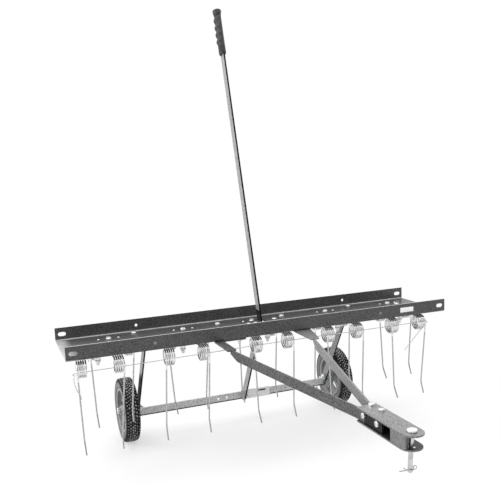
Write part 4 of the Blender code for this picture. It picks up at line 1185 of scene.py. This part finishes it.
@dataclass
class LiftLever:
    """Lever, grip, wheel arms and crossbar, all on the lift's own body."""

    elbow_y: float = 0.0545
    lean: float = 15.8
    handle: float = 1.064
    grip_length: float = 0.160
    grip_cap: float = 0.006
    half_thick: float = 0.0112
    half_deep: float = 0.0165
    top_deep: float = 1.08
    barrel: tuple[Pair, ...] = (
        (0.0, 0.90), (0.012, 1.0), (0.03, 1.03), (0.06, 1.03), (0.10, 1.0), (0.16, 0.985),
        (0.20, 1.0), (0.84, 1.0), (0.875, 1.0), (0.90, 1.08), (0.935, 1.27), (0.965, 1.34),
        (0.985, 1.32), (1.0, 1.17))
    flare: Pair = (0.86, 0.96)
    swell: float = 0.0045
    swells: int = 4
    swell_band: Pair = (0.20, 0.84)
    rib: float = 0.00045
    rib_pitch: float = 0.0026
    rib_bands: tuple[Pair, ...] = ((0.035, 0.185), (0.85, 0.90))
    grip_rows: int = 240
    grip_sides: int = 48
    grip_end: Triple = (0.6, 0.6, 1.0)
    arm_face: float = 0.3525
    cross_bolt: Pair = (0.2620, -0.3085)
    cross_grip: float = 0.0103
    foot_bolt: Triple = (0.048, 0.2412, -0.3085)
    foot_grip: float = 0.0113
    tail: float = 0.004
    foot_top: float = -0.285
    film_x: Pair = (0.0810, 0.1150)
    film_z: Pair = (-0.3020, -0.2950)
    film_y: float = 0.24735

    def build(self) -> None:
        """Builds the lever, its grip, the arms, the crossbar and their bolts."""
        # The lever's enamel is painted darker where it runs down through the tray, as shade.
        lever = plate("lift_lever", "lever_bar", Body.LIFT, "lever_steel", Finish.LEVER)
        # Black painted shade on the lever's front-facing faces.
        repaint(lever, Finish.SHADE_BLACK, front_edge)
        repaint(lever, Finish.FOOT, lambda face: face.center.z < self.foot_top)
        # The crossbar's lower edge carries a painted shade line.
        plate("crossbar", "crossbar_strap", Body.LIFT, "light_grey_paint", Finish.CROSSBAR)
        # The left arm's enamel is painted darker low down, as shade beside the wheel.
        for side, finish in ((Side.LEFT, Finish.SHADED_ARM), (Side.RIGHT, Finish.LIGHT_BAR)):
            arm = plate("wheel_arm_" + side.word(), "arm_" + side.word(), Body.LIFT,
                        "light_grey_paint", finish)
            # Black painted shade on the arm's front-facing faces.
            repaint(arm, Finish.SHADE_BLACK, front_edge)
        # Black film on the crossbar, seen through the foot's slot, stands in for the slot's
        # shade.
        settle(surface("slot_shade_film", film(self.film_x, self.film_z, self.film_y, 0.1 * MM)),
               Body.LIFT, "lever_steel", Finish.SHADE_BLACK)
        self.grip()
        for side in Side:
            HexBolt("crossbar_bolt_" + side.word(),
                    (side.value * self.arm_face, *self.cross_bolt), side.out(),
                    self.cross_grip, tail=self.tail, body=Body.LIFT, turn=10.0).build()
        HexBolt("lever_foot_bolt", self.foot_bolt, Axis.FRONT, self.foot_grip,
                tail=self.tail, body=Body.LIFT, turn=5.0).build()

    def grip(self) -> None:
        """Moulded grip with finger swells on its left, ribbed ends and a flared top.

        Its section at height h is an oval with half axes a(h) and b(h), both following the
        barrel's line, and it turns round towards the top by the smooth step 3 f^2 - 2 f^3.
        Four cosine waves along h push its left side out by the swell, and small cosine ribs
        stand at both ends of the barrel."""
        share = np.linspace(0.0, 1.0, self.grip_rows)
        size = self.half_thick * np.interp(share, *np.array(self.barrel).T)
        low, high = self.flare
        flare = np.clip((share - low) / (high - low), 0.0, 1.0)
        flare = flare * flare * (3 - 2 * flare)
        ribbed = sum((share > low) & (share < high) for low, high in self.rib_bands)
        rib = self.rib * ribbed * np.cos(FULL_TURN * share * self.grip_length
                                         / self.rib_pitch)
        low, high = self.swell_band
        waves = FULL_TURN * (share - low) * self.swells / (high - low)
        wave = np.where((share > low) & (share < high), 0.5 - 0.5 * np.cos(waves), 0.0)
        thick = size + rib
        deep = size * (self.half_deep / self.half_thick * (1 - flare)
                       + self.top_deep * flare) + rib
        angle = round_turn(self.grip_sides)
        left = np.clip(-np.cos(angle), 0.0, 1.0)
        grid = np.stack([thick[:, None] * np.cos(angle) - self.swell * wave[:, None] * left,
                         deep[:, None] * np.sin(angle),
                         (share * self.grip_length)[:, None] * np.ones(self.grip_sides)],
                        axis=-1)
        pole = np.array([0.0, 0.0, 1.0])
        grid = np.concatenate([grid[:1] * pole, grid, grid[-1:] * self.grip_end,
                               grid[-1:] * pole])
        lean = math.radians(self.lean)
        along = np.array([0.0, math.sin(lean), math.cos(lean)])
        base = np.array([LEVER_X, self.elbow_y, 0.0]) + along * (
            self.handle + self.grip_cap - self.grip_length)
        tilt = np.array(Matrix.Rotation(-lean, 3, "X"))
        settle(surface("lever_grip", grid @ tilt.T + base, sharp=40.0), Body.LIFT,
               "grip_plastic", Finish.GRIP, "grip")


# Wheels


@dataclass
class Wheel:
    """Tyre with a block tread on a spoked hub, and the axle bolt through it."""

    side: Side
    offset: float = 0.387
    inner: float = 0.0722
    rim: float = 0.0640
    pitches: int = 58
    steps: int = 12
    row: float = 0.0072
    first_row: float = 0.0005
    slant: float = 30.0
    groove: float = 0.0048
    cross_gap: Pair = (0.17, 0.10)
    ring_gap: Pair = (0.0009, 0.0007)
    lugs_from: float = 0.0180
    lug_dent: Pair = (0.35, 0.0205)
    tread: Pair = (0.0115, 0.002)
    side_line: Triple = (0.0868, 0.0009, 0.0007)
    side_from: float = 0.02
    boss: float = 0.017
    bore: float = 0.0066
    spokes: int = 5
    spoke_half: Pair = (0.0072, 0.0052)
    spoke_swell: Pair = (0.0030, 0.0042)
    spoke_sides: int = 32
    spoke_rows: int = 26
    rim_sides: int = 96
    boss_sides: int = 48
    spoke_root: float = 0.7
    spoke_sunk: float = 0.0035
    dish: Pair = (0.32, 0.45)
    inner_face: float = 0.3535
    arm_inner: float = 0.3475
    boss_half: float = 0.0235
    boss_edge: Triple = (0.0008, 0.0027, 0.0035)
    boss_taper: float = 0.009
    bolt_face: float = 0.0245

    def at(self) -> Triple:
        """Middle of the wheel."""
        return self.side.value * self.offset, *WHEEL_AXIS

    def body(self) -> Body:
        """The wheel's own body."""
        return Body[self.side.name + "_WHEEL"]

    def build(self) -> None:
        """Builds the tyre, the hub and the axle bolt."""
        self.tyre()
        self.hub()
        face = self.offset + self.bolt_face
        HexBolt("axle_bolt_" + self.side.word(), (self.side.value * face, *WHEEL_AXIS),
                self.side.out(), face - self.arm_inner, shank=0.0063, flats=0.019, head=0.008,
                nut=0.009, tail=0.004, body=Body.LIFT, turn=12.0).build()

    def tyre(self) -> None:
        """Tyre whose section is carried round the axle.

        The half section is a smooth line through a few points, mirrored. The tread sinks
        by the groove's depth where the block pattern says so: rows of blocks, each shifted
        by half a pitch from the next and slanted outwards, with lugs that run out over the
        shoulders. A gap has a half width and the width of its flank, in pitches where it runs
        across the tread and in metres where it runs round. The sidewall has one moulded line,
        a bell curve."""
        r = WHEEL_RADIUS
        half = np.array([
            (0.0, r), (0.006, r - 0.0001), (0.0115, r - 0.0004), (0.0165, r - 0.0013),
            (0.0202, r - 0.0032), (0.0223, r - 0.0072), (0.0232, r - 0.0125),
            (0.0235, 0.0845), (0.0232, 0.0805), (0.0220, 0.0770), (0.0200, 0.0742),
            (0.0183, self.inner),
        ])
        fine = curve_through(half, 6)
        section = np.vstack([fine[::-1] * [-1.0, 1.0], fine[1:]])
        angle = round_turn(self.pitches * self.steps)
        across, size = section[:, 0][:, None], section[:, 1][:, None]
        out = np.abs(across)
        row = np.floor((out + self.first_row) / self.row)
        shift = 0.5 * np.mod(row, 2) + self.slant * out + 0.5 * (across > 0)
        phase = np.mod(angle[None, :] / FULL_TURN * self.pitches + shift, 1.0)
        gap, flank = self.cross_gap
        block = np.clip((0.5 - np.abs(phase - 0.5) - gap) / flank, 0.0, 1.0)
        edge = np.mod(out + self.first_row, self.row)
        gap, flank = self.ring_gap
        rows_apart = np.clip((np.minimum(edge, self.row - edge) - gap) / flank, 0.0, 1.0)
        block = np.minimum(block, np.where(out > self.lugs_from, 1.0, rows_apart))
        below, fade = self.tread
        depth = self.groove * (1.0 - block) * np.clip((size - (r - below)) / fade, 0.0, 1.0)
        place, width, height = self.side_line
        line = height * np.exp(-((size - place) / width) ** 2) * (out > self.side_from)
        dent, dent_from = self.lug_dent
        wide = np.sign(across) * (out - depth * dent * (out > dent_from) - line)
        radial = size - depth
        grid = np.stack([wide, radial * np.cos(angle), radial * np.sin(angle)], axis=-1)
        settle(surface("tread_tyre_" + self.side.word(),
                       ring_closed(grid + np.array(self.at())), sharp=40.0),
               self.body(), "tyre_rubber", Finish.TYRE, "tyre_" + self.side.word())

    def hub(self) -> None:
        """Rim ring, five ribbed spokes and a boss.

        A spoke's section at radius s is a superellipse |u/w|^4 + |v/t|^4 = 1 whose half
        width w and half thickness t swell towards both ends as the square of the distance
        from the middle. A shallow channel, a bell curve across u, runs down each face."""
        seat, rim = self.inner - 0.0004, self.rim
        half = np.array([
            (0.0170, seat), (0.0185, seat - 0.0002), (0.0192, seat + 0.0002),
            (0.0202, seat + 0.0006), (0.0208, seat - 0.0006), (0.0206, rim + 0.0016),
            (0.0200, rim + 0.0004), (0.0188, rim + 0.0002), (0.0180, rim + 0.0012),
            (0.0120, rim + 0.0030),
        ])
        ring = turned(np.vstack([half[::-1] * [-1.0, 1.0], half]), self.rim_sides)
        s = np.linspace(0.0, 1.0, self.spoke_rows)[:, None]
        swell = (2 * s - 1) ** 2
        width, thick = (size + more * swell
                        for size, more in zip(self.spoke_half, self.spoke_swell))
        a = round_turn(self.spoke_sides)
        u, v = (np.sign(wave) * np.abs(wave) ** 0.5 for wave in (np.cos(a), np.sin(a)))
        start = self.boss * self.spoke_root
        reach = start + (rim + self.spoke_sunk - start) * s
        deep, wide = self.dish
        channel = 1.0 - deep * np.exp(-(u / wide) ** 2)
        around = np.ones(self.spoke_sides)
        spoke = np.stack([thick * v * channel, width * u, reach * around], axis=-1)
        ends = spoke.mean(axis=1, keepdims=True) * around[None, :, None]
        spoke = np.concatenate([ends[:1], spoke, ends[-1:]])
        low, high = sorted((self.side.value * (self.inner_face - self.offset),
                            self.side.value * self.boss_half))
        boss, bore, taper = self.boss, self.bore, self.boss_taper
        ease, shoulder, face = self.boss_edge
        profile = np.array([
            (low, bore), (low, boss - face), (low + ease, boss - shoulder),
            (low + taper, boss), (high - taper, boss), (high - ease, boss - shoulder),
            (high, boss - face), (high, bore),
        ])
        turns = (np.array(Matrix.Rotation(2 * math.pi * i / self.spokes, 3, "X"))
                 for i in range(self.spokes))
        grids = [laid(ring_closed(ring), Axis.RIGHT, self.at()),
                 *(spoke @ turn.T + np.array(self.at()) for turn in turns),
                 laid(ring_closed(turned(profile, self.boss_sides)), Axis.RIGHT, self.at())]
        settle(surface("spoked_hub_" + self.side.word(), *grids, sharp=35.0), self.body(),
               "hub_plastic", Finish.HUB, "hub_" + self.side.word())


# Drawbars and hitch


@dataclass
class TowingHitch:
    """Drawbars, hitch bracket, hitch pin and hair cotter."""

    x: float = -0.040
    top: float = -0.030
    plate: float = 0.0036
    width: float = 0.049
    height: float = 0.0338
    gap: float = 0.0003
    side_y: Pair = (-0.728, -0.782)
    side_drop: float = 0.008
    top_x: float = -0.0315
    top_y: Pair = (-0.711, -0.750)
    pin_y: float = -0.873
    pin_lean: float = 4.0
    pin_r: float = 0.0048
    pin_head: float = 0.0105
    pin_thick: float = 0.0060
    pin_length: float = 0.0825
    pin_tip: Pair = (0.0012, 0.0014)
    pin_ease: float = 0.0005
    button: tuple[Pair, ...] = (
        (0.62, 1.0), (0.78, 0.965), (0.90, 0.86), (0.97, 0.60), (1.0, 0.0))
    cotter: float = 0.0010
    cotter_up: float = 0.0045
    cotter_leg: Pair = (-0.025, 0.0088)
    loop_r: float = 0.0038
    loop_x: float = 0.0112

    def build(self) -> None:
        """Builds the bars, the bracket, its bolts, the pin and the cotter."""
        # Left drawbar: a shaded copy of the enamel, with painted shade inside the hitch.
        plate("drawbar_left", "bar_left", Body.FRAME, "dark_grey_paint", Finish.DARK_BAR)
        plate("drawbar_right", "bar_right", Body.FRAME, "light_grey_paint",
              Finish.LIGHT_BAR)
        yoke = plate("hitch_bracket", "hitch_yoke", Body.FRAME, "dark_grey_paint",
                     Finish.HITCH)
        # Painted shade on the lower plate's upward faces, under the top plate.
        repaint(yoke, Finish.MOUTH_SHADE, lambda face: face.normal.z > 0.7
                and face.center.z < self.top - self.height / 2)
        for i, y in enumerate(self.top_y):
            HexBolt("hitch_top_bolt_%d" % (i + 1), (self.top_x, y, self.top), Axis.UP,
                    self.height, tail=0.003, turn=14.0 + 21.0 * i).build()
        out = self.width / 2 - self.plate - self.gap
        middle = self.top - self.plate - self.gap - self.side_drop
        for i, y in enumerate(self.side_y):
            HexBolt("hitch_side_bolt_%d" % (i + 1), (self.x - out, y, middle), Axis.LEFT,
                    2 * out, tail=0.003, turn=6.0 + 25.0 * i).build()
        self.pin()
        self.hair_cotter()

    def pin(self) -> None:
        """Hitch pin with an eased button head.

        It is turned upright, and each point below the head then moves to the left by its
        depth times the tangent of the lean."""
        low, r, head, seat = -self.pin_length, self.pin_r, self.pin_head, self.gap
        rise, inset = self.pin_tip
        ease = self.pin_ease
        shank = [(low, 0.0), (low, r - inset), (low + rise, r), (seat - ease, r),
                 (seat, r), (seat, head - ease), (seat + ease, head)]
        button = [(seat + self.pin_thick * up, head * out) for up, out in self.button]
        grid = turned(np.array(shank + button), 48)
        grid[..., 0] += np.minimum(grid[..., 2], 0.0) * math.tan(math.radians(self.pin_lean))
        pin = settle(surface("towing_pin", grid + np.array([self.x, self.pin_y, self.top])),
                     Body.PIN, "pin_steel", Finish.PIN, "hitch_pin")
        repaint(pin, Finish.ZINC, lambda face: face.center.z > self.top)

    def hair_cotter(self) -> None:
        """Spring clip: a straight leg through the pin, a loop and a wavy leg beside it.

        The loop is a circle, x = c + r cos a and z = r + r sin a, from -60 to 180 degrees.
        The clip leans with the pin."""
        start, end = self.cotter_leg
        side = self.pin_r + self.gap + self.cotter
        leg = np.linspace([start, 0.0, 0.0], [end, 0.0, 0.0], 6)
        a = np.radians(np.arange(-60.0, 181.0, 30.0))
        loop = np.stack([self.loop_x + self.loop_r * np.cos(a), 0.0 * a,
                         self.loop_r + self.loop_r * np.sin(a)], axis=-1)
        back = np.array([(0.0058, -0.0045, 0.0032), (0.0, -side, 0.0012),
                         (-0.006, -side, 0.0030), (-0.013, -side, 0.0045),
                         (-0.021, -side, 0.0095)])
        line = np.vstack([leg, loop, back])
        line[:, 2] += self.cotter_up - self.pin_length
        lean = np.array(Matrix.Rotation(math.radians(self.pin_lean), 3, "Y"))
        line = line @ lean.T + [self.x, self.pin_y, self.top]
        settle(surface("spring_clip", tube(curve_through(line, 5), self.cotter, 10)),
               Body.COTTER, "pin_steel", Finish.PIN, "hair_cotter")


# Studio


@dataclass(frozen=True)
class SoftBox:
    """Large square lamp that looks from its place at a target, with its power in watts."""

    name: str
    place: Triple
    target: Triple
    size: float
    power: float

    def build(self) -> None:
        """Hangs the lamp."""
        lamp = bpy.data.lights.new(self.name, "AREA")
        lamp.shape = "SQUARE"
        lamp.size = self.size
        lamp.energy = self.power
        holder = link_object(self.name, lamp)
        holder.location = self.place
        aim = Vector(self.target) - Vector(self.place)
        holder.rotation_euler = aim.to_track_quat("-Z", "Y").to_euler()


@dataclass
class Studio:
    """White floor, white surroundings, soft lamps and the camera."""

    ground: float = -0.3915
    eye: Triple = (-0.8002, -1.9699, 0.5031)
    azimuth: float = 21.54
    elevation: float = 7.11
    roll: float = -2.16
    lens: float = 49.72
    sensor: float = 36.0
    sight: float = 100.0
    reach: float = 30.0
    floor_lift: float = 0.38
    floor_shift: Triple = (0.0, -0.05, 0.0)
    floor_oval: Triple = (0.35, 1.0, 0.0)
    floor_fade: Pair = (0.12, 0.44)
    floor_seen: str = "#fafafa"
    floor_bounce: str = "#9c9c9c"
    turn_band: Pair = (0.10, 0.80)
    room: float = 0.45
    front: Triple = (-0.37, -0.92, 0.12)
    front_soft: float = 1.4
    dark_side: Triple = (0.30, -0.95, 0.08)
    dark_mirrored: float = 0.40
    lamps: tuple[SoftBox, ...] = (
        SoftBox("overhead_box", (0.0, 0.0, 2.6), (0.0, 0.0, 0.0), 3.6, 66.0),
        SoftBox("left_box", (-2.9, 0.7, 1.0), (0.0, 0.0, -0.1), 2.0, 42.0),
        SoftBox("right_box", (2.9, 0.9, 1.2), (0.0, 0.0, -0.1), 2.0, 10.0))

    def build(self) -> None:
        """Sets up the floor, the world, the lamps and the camera."""
        self.build_floor()
        self.build_world()
        for lamp in self.lamps:
            lamp.build()
        self.build_camera()

    def build_floor(self) -> None:
        """Large floor that keeps the machine's shadow near it and is plain white further off.

        Its distance from the machine is measured on an oval, longer from side to side. To
        the camera and in reflections it glows by a share that grows to 1 with that distance.
        For soft light it is a mid grey, so that it doesn't light the machine from below."""
        far, low = self.reach, self.ground
        mesh = bpy.data.meshes.new("studio_floor")
        mesh.from_pydata([(-far, -far, low), (far, -far, low), (far, far, low),
                          (-far, far, low)], [], [(0, 1, 2, 3)])
        floor = link_object("studio_floor", mesh)
        material, tree, shader, place = new_material("studio_white_floor")
        centred = add_node(tree, "VectorMath",
                           {"operation": "ADD", 0: place, 1: self.floor_shift})
        oval = add_node(tree, "VectorMath",
                        {"operation": "MULTIPLY", 0: centred, 1: self.floor_oval})
        away = add_node(tree, "VectorMath", {"operation": "LENGTH", 0: oval})
        start, end = self.floor_fade
        fade = add_node(tree, "MapRange", {"interpolation_type": "SMOOTHSTEP",
                                           "From Min": start, "From Max": end,
                                           "To Min": self.floor_lift, "To Max": 1.0,
                                           "Value": away.outputs["Value"]})
        path = add_node(tree, "LightPath", {}).outputs
        seen = add_node(tree, "Math", {"operation": "MAXIMUM", 0: path["Is Camera Ray"],
                                       1: path["Is Glossy Ray"]})
        glow = add_node(tree, "Math", {"operation": "MULTIPLY", 0: fade, 1: seen})
        tone = add_node(tree, "Mix", {"data_type": "RGBA", 0: path["Is Camera Ray"],
                                      6: linear(self.floor_bounce),
                                      7: linear(self.floor_seen)})
        feed(tree, shader, {"Roughness": 0.9, "Specular IOR Level": 0.0,
                            "Base Color": tone.outputs[2]})
        white = add_node(tree, "Emission", {"Color": WHITE, "Strength": 1.0})
        mixed = add_node(tree, "MixShader", {0: glow, 1: shader, 2: white})
        feed(tree, tree.nodes["Material Output"], {"Surface": mixed})
        mesh.materials.append(material)

    def build_world(self) -> None:
        """White surroundings, seen at three levels.

        The eye sees full white everywhere. Reflections see it too, but fall to a dimmer
        level towards the dark side. Soft light is the room's level and grows towards the
        front, where a large soft box stands."""
        world = bpy.data.worlds.new("studio_white")
        bpy.context.scene.world = world
        world.use_nodes = True
        tree = world.node_tree
        path = add_node(tree, "LightPath", {}).outputs
        around = add_node(tree, "TexCoord", {}).outputs["Generated"]
        start, end = self.turn_band
        levels = []
        for way, low, high in ((self.front, self.room, self.front_soft),
                               (self.dark_side, 1.0, self.dark_mirrored)):
            towards = add_node(tree, "VectorMath", {"operation": "DOT_PRODUCT", 0: around,
                                                    1: way})
            levels.append(add_node(tree, "MapRange",
                                   {"interpolation_type": "SMOOTHSTEP", "From Min": start,
                                    "From Max": end, "To Min": low, "To Max": high,
                                    "Value": towards.outputs["Value"]}))
        soft, mirrored = levels
        sharp = add_node(tree, "Math", {"operation": "MAXIMUM", 0: path["Is Glossy Ray"],
                                        1: path["Is Transmission Ray"]})
        lit = add_node(tree, "Mix", {0: sharp, 2: soft, 3: mirrored})
        seen = add_node(tree, "Mix", {0: path["Is Camera Ray"], 2: lit, 3: 1.0})
        feed(tree, tree.nodes["Background"], {"Color": WHITE, "Strength": seen})

    def build_camera(self) -> None:
        """Camera at the photograph's angle, with its small roll."""
        az, el, roll = (math.radians(v) for v in (self.azimuth, self.elevation, self.roll))
        ahead = Vector((math.sin(az) * math.cos(el), math.cos(az) * math.cos(el),
                        -math.sin(el)))
        level = Vector((math.cos(az), -math.sin(az), 0.0))
        rise = level.cross(ahead)
        right = level * math.cos(roll) + rise * math.sin(roll)
        up = rise * math.cos(roll) - level * math.sin(roll)
        lens = bpy.data.cameras.new("camera")
        lens.lens = self.lens
        lens.sensor_width = self.sensor
        lens.clip_end = self.sight
        camera = link_object("camera", lens)
        turn = Matrix((right, up, -ahead)).transposed().to_4x4()
        camera.matrix_world = Matrix.Translation(self.eye) @ turn
        bpy.context.scene.camera = camera
        bpy.context.scene.view_settings.view_transform = "Standard"


def main() -> None:
    """Builds the machine and the studio, sub-assembly by sub-assembly."""
    logging.basicConfig(level=logging.INFO, format="%(name)s: %(message)s")
    for assembly in (Tray(), TINES, LiftLever(), Wheel(Side.LEFT), Wheel(Side.RIGHT),
                     TowingHitch(), Studio()):
        assembly.build()


if __name__ == "__main__":
    main()
